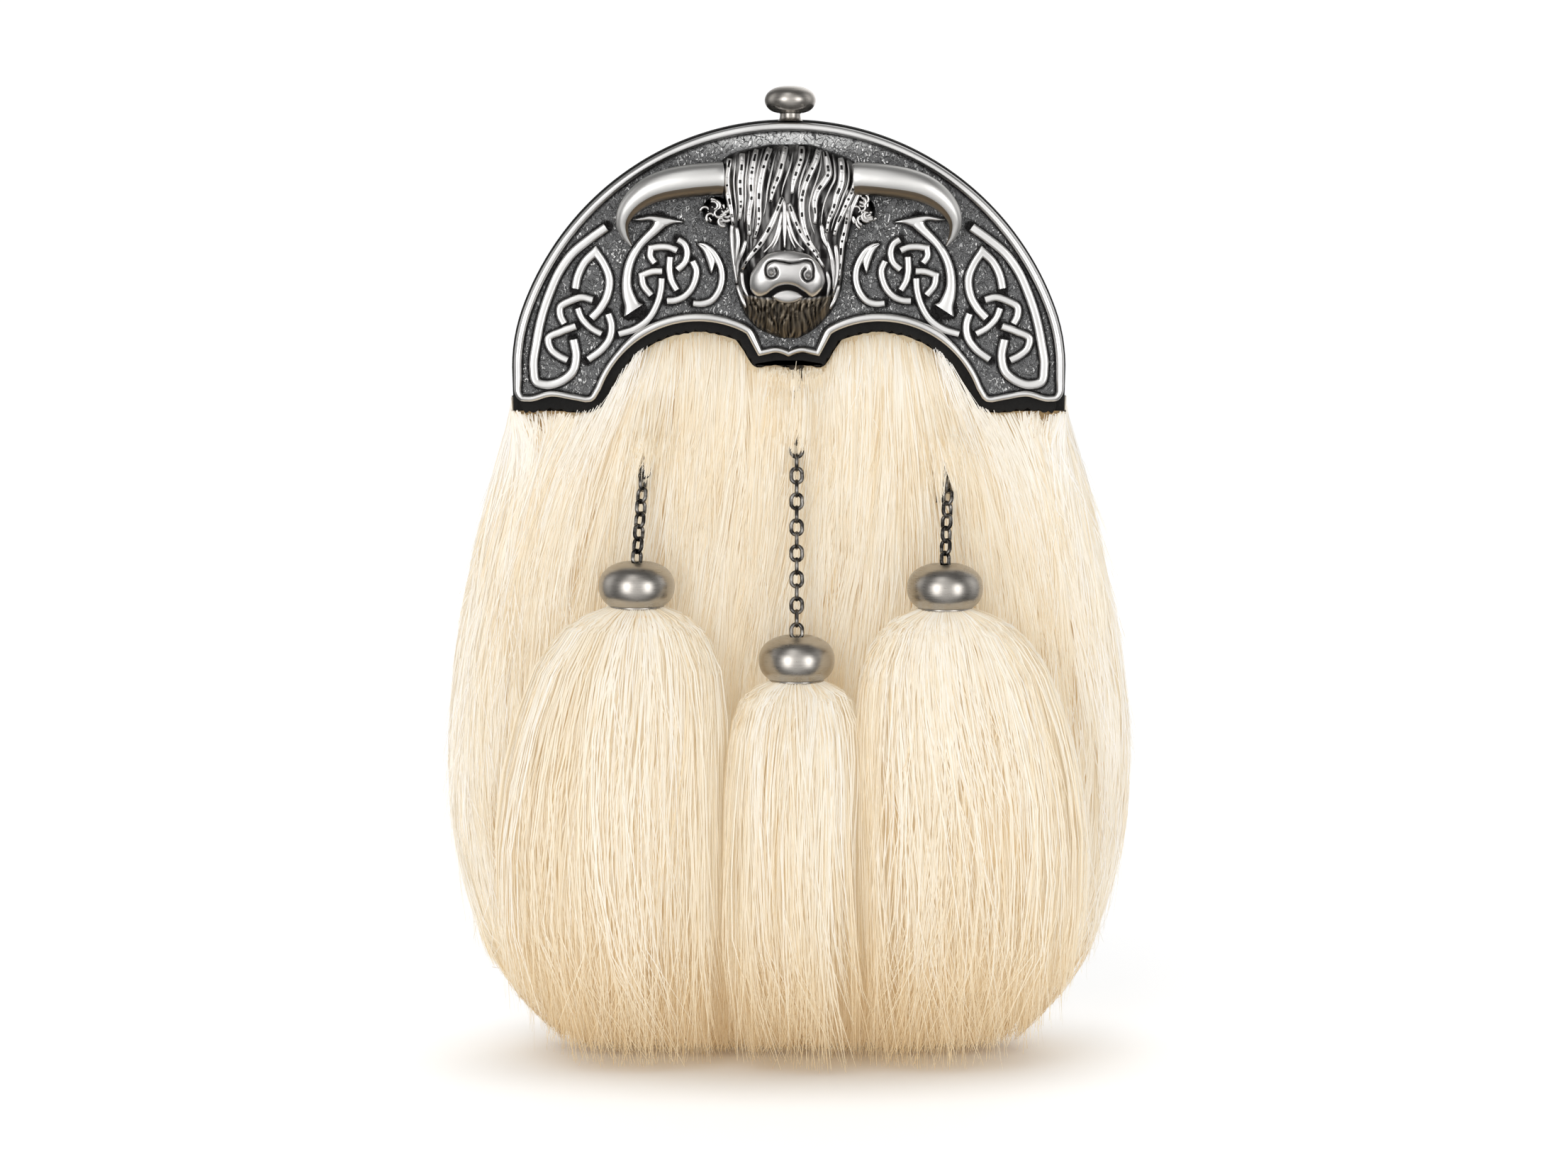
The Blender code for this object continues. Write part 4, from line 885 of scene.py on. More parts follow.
def leather(outline, front_depth, back_depth, round_edge=0.7, steps=5):
    """A flat piece of leather with a rounded edge: its outline drawn in by a quarter circle's
    shape at both faces."""
    a = np.linspace(0, np.pi / 2, steps)
    inset = np.concatenate([[3], round_edge * (1 - np.sin(a))])
    depth = np.concatenate([[0], round_edge * (1 - np.cos(a))])
    rings = [*zip(front_depth + depth, inset), *zip(back_depth - depth[::-1], inset[::-1])]
    return np.stack([deep(grown(outline, -inset), depth) for depth, inset in rings])


def pouch_line(step):
    """The pouch from the front: the cantle's top edge 1 mm out, and round lower corners."""
    right = arc((CORNER_X, CORNER_Z), CORNER_RADIUS, 0, -90, 24)
    return stepped(np.concatenate([dome(1, np.linspace(180, 0, 160)), right, mirrored(right)]), step, True)


def stitches(line, length=2.6, pitch=3.6, radius=0.42):
    """Short rounded bars of thread along a line that faces backwards, each sunk at both ends and
    a little slanted: an ellipsoid of six by seven points, stretched along the line."""
    along = lengths(line)
    count = int(along[-1] / pitch)
    at = (np.arange(count) + 0.5) * along[-1] / count
    normal = np.broadcast_to([0.0, 1.0, 0.0], (count, 3))
    ahead = unit(along_line(at + 0.4, along, line) - along_line(at - 0.4, along, line))
    side = np.cross(ahead, normal)
    a, b = np.linspace(0.04, np.pi - 0.04, 6)[:, None], circle(7)
    shape = (-np.cos(a) * length / 2 * np.ones(7),
             np.sin(a) * np.cos(b) * radius, np.sin(a) * np.sin(b) * radius)
    axes = ahead + 0.12 * side, side, normal
    bars = sum(size[..., None] * axis[:, None, None] for size, axis in zip(shape, axes))
    return along_line(at, along, line)[:, None, None] + bars


def backing_lower(grow=0):
    """The backing's lower edge on the left half: foot, arch and notch, moved down by grow."""
    foot = chart(BACKING_FOOT) + [0.6 * grow, -grow]
    round_part = arc(chart(ARCH), ARCH_RADIUS * STEP - BACKING_SHOWS - grow, 163, 65, 26)
    notch = chart(BACKING_NOTCH) + [-0.7 * grow, -grow]
    notch[-1, 0] = 0
    return np.concatenate([foot, round_part, notch])


half = stepped(backing_lower(), 0.6)
run = lengths(half)[1:-1]
half[1:-1, 1] += 0.5 - 0.9 * np.abs(np.sin(run * 0.95 + 0.6 * np.sin(run * 0.21)))  # cut in scallops
backing = np.concatenate([dome(-1.8, np.linspace(180, 0, 220)), half * [-1, 1], half[::-1][1:]])
backing = leather(backing, 2.3, FLANGE_DEPTH, 0.5)[1:-1]
Casting().add(backing).piece("backing_strip", "cantle_backing", hide)
panel = leather(pouch_line(3), PANEL_FRONT, PANEL_FRONT + LEATHER, 0.7, 3)
Casting().add(panel).piece("front_panel", "pouch_front", hide)

outer = pouch_line(2)
q = np.linspace(0, 1, 17)
bow = 0.9 * np.sin(np.pi * q) - 0.5 * np.exp(-((q - 0.5) / 0.03) ** 2)
bow -= 0.35 * (np.exp(-(q / 0.05) ** 2) + np.exp(-((1 - q) / 0.05) ** 2))
depths = GUSSET_FRONT + (GUSSET_BACK - GUSSET_FRONT) * q
gusset = [deep(grown(outer, out), depth) for out, depth in zip(bow, depths)]
gusset += [deep(grown(outer, -LEATHER), depth) for depth in depths[::-4]]
Casting().add(np.stack(gusset).transpose(1, 0, 2), "ring").piece("gusset_strip", "gusset", hide)

# The back panel: a ring of leather between its outline and the mouth, rounded at both edges.
MOUTH_HALF, MOUTH_Z, MOUTH_RISE = 55, 177.5, 17.5
BACK_SECTION = [  # share of the way from the outline to the mouth, depth
    (0, BACK_BACK - 0.7), (0.012, BACK_BACK - 0.2), (0.03, BACK_BACK), (0.3, BACK_BACK), (0.6, BACK_BACK),
    (0.97, BACK_BACK), (0.99, BACK_BACK - 0.3), (1, BACK_BACK - 0.8), (1, BACK_FRONT + 0.5),
    (0.98, BACK_FRONT), (0.5, BACK_FRONT), (0.02, BACK_FRONT), (0, BACK_FRONT + 0.6),
]
outer = pouch_line(1.6)
spin = np.arctan2(outer[:, 1] - MOUTH_Z, outer[:, 0])
spin = np.stack([np.cos(spin), np.sin(spin)], axis=1)
mouth = [0, MOUTH_Z] + spin / np.max(np.abs(spin) / [MOUTH_HALF, MOUTH_RISE], axis=1, keepdims=True)
back = np.stack([deep(outer * (1 - q) + mouth * q, depth) for q, depth in BACK_SECTION])
Casting().add(back.transpose(1, 0, 2), "ring").piece("back_panel_leather", "back_panel", hide)

right = arc((CORNER_X, 154), 24, 0, -90, 20)
flap_top = [(-62, 204.5), (-60.5, 206), (60.5, 206), (62, 204.5)]
flap_line = stepped(np.concatenate([flap_top, right, mirrored(right)]), 1, True)
Casting().add(leather(flap_line, FLAP_FRONT, FLAP_BACK, 0.8)).piece("flap_leather", "back_flap", hide)

STUD_PROFILE = [  # radius, height over the back panel
    (2, 0), (2, 2.2), (4.3, 2.3), (4.7, 2.6), (4.7, 3), (4.3, 3.5), (3.2, 4.1), (1.6, 4.4), (0.05, 4.5),
]
STUD_Z = 142
stud = lathe(0, STUD_Z, FLAP_FRONT, curve(STUD_PROFILE, 0.25), 40)[..., [0, 2, 1]]
Casting().add(stud).piece("flap_stud_turned", "flap_stud", steel)

LOOP_LOW, LOOP_HIGH, LOOP_HALF, LOOP_X, LOOP_GAP = 214, 262, 10, 42, 5.2
path = np.array([
    (FLAP_FRONT, LOOP_LOW), (FLAP_FRONT, LOOP_LOW + 7.5), (FLAP_FRONT + LOOP_GAP, LOOP_LOW + 11.5),
    (FLAP_FRONT + LOOP_GAP, LOOP_HIGH - 11.5), (FLAP_FRONT, LOOP_HIGH - 7.5), (FLAP_FRONT, LOOP_HIGH),
])
path = np.concatenate([path[:1], curve(path[1:3], 0.5), curve(path[3:5], 0.5), path[-1:]])
path = np.pad(stepped(path, 0.6), ((3, 3), (0, 0)), mode="edge")
path = np.stack([np.convolve(path[:, k], np.ones(7) / 7, "valid") for k in (0, 1)], axis=1)
path[0], path[-1] = (FLAP_FRONT, LOOP_LOW), (FLAP_FRONT, LOOP_HIGH)
ahead = unit(np.gradient(path, axis=0))
out = np.stack([np.abs(ahead[:, 1]), -ahead[:, 0] * np.sign(ahead[:, 1])], axis=1)
a = np.linspace(0, np.pi / 2, 5)
inset, thick = 0.8 * (1 - np.sin(a)) - LOOP_HALF, 0.8 * (1 - np.cos(a))
cross = np.concatenate([np.stack([inset, thick], axis=1), np.stack([inset, LEATHER - thick], axis=1)[::-1]])
cross = np.concatenate([cross, cross[::-1] * [-1, 1]])
spot = path[:, None] + out[:, None] * cross[None, :, 1:]
seams = Casting()
for name, middle in (("left", -LOOP_X), ("right", LOOP_X)):
    x = middle + cross[:, 0] + 0 * spot[..., 0]
    strap = Casting().add(np.stack([x, spot[..., 0], spot[..., 1]], axis=-1))
    strap.piece(f"strap_loop_{name}", f"belt_loop_{name}", hide)
    for low, high in ((LOOP_LOW + 1.6, LOOP_LOW + 6), (LOOP_HIGH - 6, LOOP_HIGH - 1.6)):
        x = middle + 8.2 * np.array([-1, 1, 1, -1, -1])
        box = np.stack([x, np.full(5, FLAP_BACK), [low, low, high, high, low]], axis=1)
        for k in range(4):
            seams.add(stitches(box[k:k + 2], 2, 2.75))
for line, depth in ((pouch_line(1), BACK_BACK), (flap_line, FLAP_BACK)):
    line = deep(grown(line, -3), depth)
    seams.add(stitches(np.concatenate([line, line[:1]])))
seams.piece("saddle_stitches", "back_panel", thread, None)

# ---------------------------------------------------------------- long hair
# Cream goat's hair, on its own skin, covers the pouch's front, sides and underside and falls in
# overlapping locks from under the cantle to the floor. It parts over the pins that carry the
# tassels' chains, where the black leather shows.
COAT = np.array([
    # z, half width, front depth, back depth
    (-6, 66, 1, 35.5), (0, 70, -0.5, 37), (9, 78, -2.5, 41), (26, 92, -4, 44), (45, 99.5, -4.5, 45),
    (66, 104.7, -4.5, 45), (92, 107, -4.5, 45), (120, 105, -4.5, 45), (145, 101, -4.5, 44),
    (166, 96.5, -3.8, 43), (185, 91.5, -2.2, 42), (199, 88, -0.6, 41), (214, 84, 1.2, 38),
    (232, 79, 3.4, 36),
])
COAT_MIDDLE, COAT_POWER = 15, 3.2
COAT_LOW, COAT_HIGH = COAT[0, 0], COAT[-1, 0]
COAT_ROWS, HALF_COLUMNS = 80, 240
HANGERS = [
    # name, the cap's x and z, the chain's x and depth at its top, links, the parting's low and high end,
    # its half width and the number of hairs across it
    ("left", -46.6, 149.4, -44.7, -6.6, 9, 183, 200, 1.3, 12),
    ("center", 2.4, 126.7, 2.4, -5.2, 20, 190, 217, 1.3, 18),
    ("right", 47.8, 148.8, 49.2, -6.6, 9, 177, 199, 1.9, 20),
]

levels = np.linspace(COAT_LOW, COAT_HIGH, COAT_ROWS)
theta = np.linspace(-np.pi, np.pi, 1441)
across, ahead = (np.sign(wave) * np.abs(wave) ** (2 / COAT_POWER) for wave in (np.sin(theta), np.cos(theta)))
rings, half_girths = [], []
for half, near, far in ease(levels, COAT[:, 0], COAT[:, 1:]):
    reach = np.where(np.cos(theta) > 0, COAT_MIDDLE - near, far - COAT_MIDDLE)
    ring = np.stack([half * across, COAT_MIDDLE - reach * ahead], axis=1)
    half_girths.append(lengths(ring)[-1] / 2)
    rings.append(stepped(ring, half_girths[-1] / HALF_COLUMNS)[:2 * HALF_COLUMNS + 1])
coat_table = np.stack(rings)
coat_out = unit(np.gradient(coat_table, axis=1)[..., ::-1] * [1, -1])
coat_out[:, [0, -1]] = (0, 1)


def girth(z):
    """Half the way round the coat at a height."""
    return np.interp(z, levels, half_girths)


def pouch_half(z):
    """Half the pouch's width at a height: its round lower corners and its nearly upright sides."""
    low = share((CORNER_Z - z) / CORNER_RADIUS)
    round_part = CORNER_X + CORNER_RADIUS * np.sqrt(1 - low * low)
    side = CORNER_X + CORNER_RADIUS + (z - CORNER_Z) / 39
    return np.where(z < CORNER_Z - CORNER_RADIUS, -1, np.where(z < CORNER_Z, round_part, side))


def on_coat(s, z, out):
    """A place on the coat and the way out of it. s runs round the section by length, from -1 at
    the back's middle through 0 at the front's to 1; out is millimetres outside the outer form.
    What would lie in the pouch's sides is moved out to them."""
    i = np.clip((z - levels[0]) / (levels[1] - levels[0]), 0, COAT_ROWS - 1.001)
    j = np.clip((s + 1) * HALF_COLUMNS, 0, 2 * HALF_COLUMNS - 0.001)
    i0, j0 = i.astype(int), j.astype(int)
    u, v = (i - i0)[..., None], (j - j0)[..., None]
    place, normal = ((table[i0, j0] * (1 - v) + table[i0, j0 + 1] * v) * (1 - u) +
                     (table[i0 + 1, j0] * (1 - v) + table[i0 + 1, j0 + 1] * v) * u
                     for table in (coat_table, coat_out))
    x, depth = np.moveaxis(place + normal * out[..., None], -1, 0)
    inside = smooth((depth - 3) / 4) * (np.abs(x) > 70)
    x = x + np.sign(x) * inside * np.maximum(pouch_half(z) + 0.6 - np.abs(x), 0)
    return np.stack([x, depth, z], axis=-1), np.stack([normal[..., 0], normal[..., 1], 0 * z], axis=-1)


def coat_top(s):
    """The height at which the coat ends: under the backing's edge in front, and where the pouch
    comes out of it at the sides and the back."""
    z = np.linspace(0, COAT_HIGH, 465)
    spot, _ = on_coat(s[:, None] * np.ones(len(z)), np.ones((len(s), 1)) * z, np.zeros((len(s), len(z))))
    x, depth = np.abs(spot[..., 0]), spot[..., 1]
    edge = backing_lower(0.45)
    roof = np.interp(x, -edge[::-1, 0], edge[::-1, 1], right=202)
    roof = np.where(x > 82.5, np.where(depth > 6.5, 206.5, 202), roof)
    blocked = np.where(depth > 25, (x < pouch_half(z) + 0.3) | (z > 200), z > roof)
    blocked[:, -1] = True
    return z[np.argmax(blocked, axis=1)]


def coat_foot(s):
    """The height where hair ends: the floor in the middle, and higher towards the round corners."""
    spot, _ = on_coat(s, np.full_like(s, 8), np.zeros_like(s))
    return np.interp(np.abs(spot[..., 0]), [56, 64, 70, 72.5, 75, 77], [1, 4, 9, 15, 21, 27])


def parting(hanger, z):
    """The middle of a hanger's parting at a height: it leans from the pin towards the cap."""
    _, cap_x, _, pin_x, _, _, low, high, _, _ = hanger
    return pin_x + (cap_x - pin_x) * np.clip((high - z) / (high - low) - 0.6, -0.6, 1)


def parted(spot):
    """The hair moved aside along each parting, and out over the pin and the chain's top links."""
    x, depth, z = spot[..., 0].copy(), spot[..., 1].copy(), spot[..., 2]
    for hanger in HANGERS:
        name, low, high, wide = hanger[0], *hanger[6:9]
        beside_it = x - parting(hanger, z)
        open_by = wide * smooth((z - low + 9) / 9) * smooth((low + 9 - z) / 8)
        front = depth < 6
        moved = np.sign(beside_it + 1e-4) * np.sqrt(beside_it ** 2 + open_by ** 2)
        x += np.where(front, moved - beside_it, 0)
        near = np.exp(-(beside_it / 7) ** 2) * smooth((z - low + 3) / 6) * smooth((high + 1 - z) / 6)
        depth -= np.where(front, (10 if name == "center" else 8.4) * near, 0)
    return np.stack([x, depth, z], axis=-1)


def lean(a, z):
    """How far a hair runs to the right for each millimetre that it falls: the hair fans out below
    the cantle's feet, and drifts a little to the left in the middle."""
    across = np.abs(a)
    fan = 0.52 * smooth((across - 26) / 34) * smooth((118 - across) / 26)
    fan = fan * np.interp(z, [50, 120, 146, 166, 188, 204], [0, 0.08, 0.18, 0.34, 0.82, 1])
    fan = fan * (1 - 0.75 * smooth((across - 68) / 12) * smooth((z - 184) / 14))
    drift = 0.17 * np.exp(-(a / 44) ** 4) * np.interp(z, [40, 150, 186, 200, 208], [0.2, 0.8, 1, 0.5, 0])
    return np.sign(a) * fan - drift


HAIR_POINTS = 7
HAIR_TAPER = [0, 0.2, 0.6, 0.85, 1], [0.8, 1, 1, 0.75, 0.2]


def ribbons(spine, outward, width, vary, roll, t, rng):
    """Flat hairs: two edges beside each spine, square to its run and turned by roll about it.
    A hair's width is its own, width times 1 to 1 + vary, and tapers."""
    widths = width * (vary[0] + vary[1] * rng.random((len(spine), 1))) * np.interp(t, *HAIR_TAPER)
    down = unit(np.gradient(spine, axis=1))
    across = unit(np.cross(down, outward))
    across = across * np.cos(roll)[:, None] + np.cross(down, across) * np.sin(roll)[:, None]
    half = across * widths[..., None] / 2
    return np.stack([spine - half, spine + half], axis=2)


# The hair glows a little in its own colour: painted light that lifts the shade between the hairs.
hair = Finish("cream_hair", Specular_IOR_Level=0.3, Emission_Strength=0.12)
streak = hair.noise(300, 2, 0, (1, 1, 0.1))
colour = hair.ramp(hair.value("tone") + (streak - 0.5) * 0.12, (0, (0.018, 0.016, 0.014)),
                   (0.06, (0.42, 0.28, 0.13)), (0.3, (0.72, 0.53, 0.29)), (0.55, (0.86, 0.73, 0.52)),
                   (0.78, (0.93, 0.86, 0.73)), (1, (0.96, 0.93, 0.88)))
hair.set(Base_Color=colour, Emission_Color=colour, Roughness=0.42 + streak * 0.2)

TOPS = np.linspace(-1, 1, 2 * HALF_COLUMNS + 1)
TOP_HEIGHTS = coat_top(TOPS)
SKIN_FOOT, SKIN_ROWS = 9, 52
s = np.linspace(-1, 1, 261)[:-1]
top = np.interp(s, TOPS, TOP_HEIGHTS) - 0.3
foot = SKIN_FOOT + 0.6 * (coat_foot(s) - 1)
z = foot + (top - foot) * (1 - np.linspace(0, 1, SKIN_ROWS)[:, None])
sink = -3.4 - 9 * np.exp(-(z - foot) / 6)
outer, _ = on_coat(s + 0 * z, z, sink + 0.5 * (hills(s * 40 + 50, z / 40, 21) - 0.5))
inner, _ = on_coat(s + 0 * z[::-4], z[::-4], sink[::-4] - 1.8)
shoulder = smooth((np.abs(outer[..., 0]) - 67) / 5) * smooth((outer[..., 2] - 178) / 16)
tone = (0.42 + 0.1 * hills(s * 90 + 100, z / 30, 8)) * (1 - 0.97 * shoulder)
skin = Casting()
skin.add(np.concatenate([outer, inner]).transpose(1, 0, 2), "ring",
         tone=np.concatenate([tone, np.full((len(inner), len(s)), 0.3)]).T)
for hanger in HANGERS:  # the black leather in each parting
    _, _, low, high, wide, _ = hanger[4:]
    z = np.linspace(low - 3, high + 1, 16)[:, None]
    side = np.linspace(-1, 1, 7)
    depth = np.interp(z, COAT[:, 0], COAT[:, 2]) + 2.6
    patch = np.stack([parting(hanger, z) + side * (wide + 1), depth + 0 * side, z + 0 * side], axis=-1)
    skin.add(np.concatenate([patch, patch[:, ::-1] + [0, 0.5, 0]], axis=1), tone=0)
skin.piece("coat_underlayer", "fur_front", hair)


def coat_hairs(count, each, seed, kind):
    """Locks of so many hairs each. A lock has a root, a length, a slant and a bow of its own, and
    its hairs draw together towards its tip. Each hair runs down from its root along the flow:
    its step aside is its drop times the slope there, it starts deep in the coat, and its tip
    lies on top. Kinds: edge, shoulder, wisp and back hang from the top edge, all grows
    everywhere, foot is the short hair above the floor, and loose stands away from the rest."""
    rng = np.random.default_rng(seed)

    def lock(low=0, high=1):
        return np.repeat(rng.uniform(low, high, count), each)[:, None]

    own = rng.normal(0, 1, (6, count * each, 1))
    near, far, fold = COAT_KINDS[kind]
    s = lock(-far, far)
    if kind == "loose":
        s = np.where(np.abs(s) < 0.25, s * 3, s)
    elif near:
        s = np.sign(s) * (near + fold * np.abs(s))
    gather = 1 if kind == "edge" else 1.5
    s = s + own[0] * gather / HALF_COLUMNS
    top = np.interp(s, TOPS, TOP_HEIGHTS) - 0.6
    jog, lift = np.abs(own[1]), own[1] * 2
    start, length = {
        "edge": lambda: (top - jog * 1.6 - 5 * lock() ** 2, 34 + 44 * lock()),
        "shoulder": lambda: (top + 0.5 - jog * 0.8 - 3 * lock() ** 2, 26 + 34 * lock()),
        "back": lambda: (top - jog - 14 * lock() ** 1.5, 26 + 24 * lock()),
        "wisp": lambda: (top + 1.8 - 0.7 * jog - 2 * lock() ** 2, 18 + 30 * lock()),
        "all": lambda: (np.minimum(22 + (top - 20) * lock() + lift, top), 34 + 36 * lock()),
        "foot": lambda: (np.minimum(7 + coat_foot(s) + 32 * lock() + lift, top), 12 + 26 * lock()),
        "loose": lambda: (16 + (top - 18) * lock() ** 0.8, 16 + 34 * lock()),
    }[kind]()
    a0 = s * girth(start)
    buried = lock() ** 1.3 if kind == "foot" else 0 * s
    ragged = 1.5 if kind == "foot" else 4
    lowest = 1 + (coat_foot(s) - 1) * share(1 - 1.6 * buried) + np.abs(own[2]) * ragged
    end = np.maximum(start - length * (1 + 0.1 * own[3]), lowest)
    crowded = (np.abs(a0) > 78) & (start > 177) & (np.abs(a0) < 150) & (kind != "shoulder")
    keep = ((start > end + 7) & ~(crowded & (own[4] > 0.7)))[:, 0]
    s, start, end, a0, own = s[keep], start[keep], end[keep], a0[keep], own[:, keep]

    t = np.linspace(0, 1, HAIR_POINTS)
    z = start + (end - start) * t
    drop = start - z
    spread_out = smooth((np.abs(a0) - 70) / 35)
    a = a0 * (1 - spread_out + spread_out * girth(z) / girth(start))
    flow = lean(a0, start) * (1 - t / 2) + lean(a0 + drop[:, -1:] * lean(a0, start), end) * t / 2
    low_down = smooth((44 - z) / 40)
    free = 3 if kind == "loose" else 1
    sway = drop * (flow + lock(-0.09, 0.09)[keep] * (1 + 1.4 * low_down) * free)
    sway += lock(-1.6, 1.6)[keep] * np.sin(np.pi * t) - own[0] * gather * 0.7 * t ** 1.2
    sway += own[5] * free * (0.25 * t + 0.9 * t ** 2 + 3.2 * t ** 3 * low_down)
    sway += (0.1 + 0.35 * t + 0.9 * low_down) * np.sin(z / (6 + 2 * np.abs(own[1])) + own[2] * 3)
    rise = 3 + lock(-0.6, 0.6)[keep] + 0.25 * own[4]
    out = -3 + rise * (1 - np.exp(-drop / 8)) + lock(-0.3, 0.8)[keep] * t ** 2
    # Darker at each hair's root, deep in the coat and under the cantle: painted shade.
    tone = 0.7 + lock(-0.09, 0.09)[keep] + 0.04 * own[3] - 0.14 * np.exp(-drop / 7)
    if kind == "foot":
        out, tone = out - 11 * buried[keep] + own[1] * 0.8 * t, tone - 0.1 + 0.06 * own[4]
    if kind == "shoulder":
        out, tone = out + 2.2 * np.exp(-drop / 8), tone + 0.1 + 0.1 * np.exp(-drop / 7)
    if kind == "wisp":
        out, tone = 0.7 + 0.25 * np.abs(own[4]) + 0.8 * t, 0.86 + 0.04 * own[3] + 0 * t
    if kind == "loose":
        fly = 1.5 + 4.5 * lock()[keep] * smooth((np.abs(s) - 0.3) / 0.1)
        out = -1 + fly * t ** 1.6 + 0.4 * np.abs(own[4])
        tone = 0.84 + 0.05 * own[3] + 0 * t
    tone = tone - 0.3 * smooth((56 - z) / 60) + 0.12 * smooth((z - 192) / 30)
    tone += 0.16 * smooth((np.abs(a) - 70) / 40) + 0.1 * smooth((z - 172) / 16) * smooth((np.abs(a) - 74) / 6)
    spot, outward = on_coat(np.clip((a + sway) / girth(z), -0.9999, 0.9999), z, out)
    width = 0.18 if kind in ("loose", "wisp") else 0.32
    grid = ribbons(parted(spot), outward, width, (0.8, 0.7), 0.5 * own[3], t, rng)
    return grid, np.clip(tone, 0.09, 1)[..., None] * np.ones(2)


COAT_KINDS = {  # share of the girth at which it starts from the middle, at which it is cut, the scale between
    "edge": (0, 0.6, 1), "all": (0, 0.62, 1), "foot": (0, 0.8, 1), "loose": (0, 0.62, 1),
    "shoulder": (0.3, 0.5, 0.4), "wisp": (0.25, 0.5, 0.17), "back": (1, 1, -0.34),
}
COAT_LAYERS = [  # locks, hairs in each, kind
    (820, 11, "all"), (820, 11, "all"), (560, 10, "edge"), (560, 10, "foot"), (900, 2, "loose"),
    (110, 9, "shoulder"), (48, 5, "wisp"), (150, 8, "back"),
]
for number, (count, each, kind) in enumerate(COAT_LAYERS):
    grid, tones = coat_hairs(count, each, 100 + number, kind)
    Casting().add(grid, "strip", tone=tones).piece(f"coat_hair_{number}", "fur_front", hair, None)

bridge = Casting()  # pale hairs across each parting, over the pin and the chain's top links
rng = np.random.default_rng(41)
t = np.linspace(0, 1, HAIR_POINTS)
for _, cap_x, _, pin_x, pin_depth, _, low, high, wide, count in HANGERS:
    own = rng.normal(0, 1, (4, count, 1))
    start = high + 1 - (high - low) * 0.55 * rng.random((count, 1)) ** 1.3
    end = low - 3 + 7 * rng.random((count, 1))
    z = start + (end - start) * t
    x = pin_x + (cap_x - pin_x) * 0.4 * t + own[0] * (wide * 1.5 + 0.9) + own[1] * 1.3 * t
    surface = np.interp(z, COAT[:, 0], COAT[:, 2])
    over_chain = np.minimum(pin_depth - 2.5 - 0.16 * np.maximum(high - 9 - z, 0), surface)
    depth = surface - 0.5 - 0.4 * np.abs(own[2]) + (over_chain - surface) * smooth((high - 4 - z) / 10)
    spot = np.stack([x, depth, z], axis=-1)
    bridge.add(ribbons(spot, np.array([0, -1, 0]), 0.17, (0.7, 0.6), 0.4 * own[3], t, rng), "strip",
               tone=np.clip(0.72 + 0.07 * own[2], 0.5, 0.9)[..., None] * np.ones((HAIR_POINTS, 2)))
bridge.piece("coat_hair_partings", "fur_front", hair, None)

# ---------------------------------------------------------------- tassels on their chains
# Three bundles of the same hair hang from gunmetal chains. Each is bound and glued into a spun
# steel cap, and each chain's top link is held by a headed pin that the hair covers.
WIRE, LINK_LENGTH, LINK_WIDTH, LINK_PITCH = 0.62, 5.75, 4.6, 4
CAP_RADIUS, CAP_RISE, CAP_WALL, CAP_LIP, CAP_HOLE, CAP_DEPTH = 11.65, 7.9, 1, 6.6, 3, -16.7
CAP_POWER = 2.3  # the cap's outside is |r| ** 2.3 + |h| ** 2.3 = 1
CHAIN_END = 3.1  # the last link's middle hangs this far below the cap's hole
SIDE_TWIST = math.radians(45)
SIDE_TASSEL = np.array([
    # height from the cap's middle, half width, half depth, middle depth, step aside
    (-148, 28, 12, -17.2, 2.5), (-132, 31, 14, -19.2, 5), (-110, 33.5, 16, -21.2, 7),
    (-70, 34.5, 17, -22.2, 7.5), (-38, 31.5, 16.5, -21.5, 4.5), (-20, 26.4, 14.4, -18.8, 2.2),
    (-15, 23.2, 13.6, -17.9, 1.5), (-11, 19, 12.6, -17.2, 0.9), (-8.2, 14, 11, -16.9, 0.3),
    (-6.4, 8.6, 8.4, -16.7, 0), (-5, 5.8, 5.8, -16.7, 0),
])
CENTER_TASSEL = np.array([
    (-126, 19, 14, -17.4, 2.6), (-110, 20.5, 16.5, -21, 0.8), (-85, 21, 18, -23, -1.2),
    (-55, 20.8, 18, -23, -1.6), (-32, 20.8, 16.6, -22, -1), (-20, 19.8, 14.8, -19.8, -0.6),
    (-16, 18.9, 13.8, -18.8, -0.4), (-12, 17.2, 12.6, -17.6, -0.2), (-8.4, 13.2, 10.8, -17, 0),
    (-6.4, 8.6, 8.4, -16.7, 0), (-5, 5.8, 5.8, -16.7, 0),
])

gunmetal = Finish("gunmetal", Metallic=1)
rub = gunmetal.noise(420, 3)
gunmetal.set(Base_Color=gunmetal.ramp(rub, (0.42, (0.035, 0.032, 0.03)), (0.7, (0.36, 0.34, 0.315))),
             Roughness=0.16 + rub * 0.14)


def wire_link(middle, along, flat):
    """A stadium-shaped ring of round wire: along is its long axis, flat its width's."""
    turn, around = circle(28)[:, None], circle(10)[:, None]
    radius, straight = (LINK_WIDTH - 2 * WIRE) / 2, (LINK_LENGTH - LINK_WIDTH) / 2
    outward = np.cos(turn) * flat + np.sin(turn) * along
    spine = middle + outward * radius + np.sign(np.sin(turn + 1e-6)) * straight * along
    normal = np.cross(along, flat)
    return spine[:, None] + WIRE * (np.cos(around) * outward[:, None] + np.sin(around) * normal)


def tassel_form(rows, height):
    """A tassel's half width, half depth, middle depth and step aside at a height."""
    return np.moveaxis(ease(height, rows[:, 0], rows[:, 1:]), -1, 0)


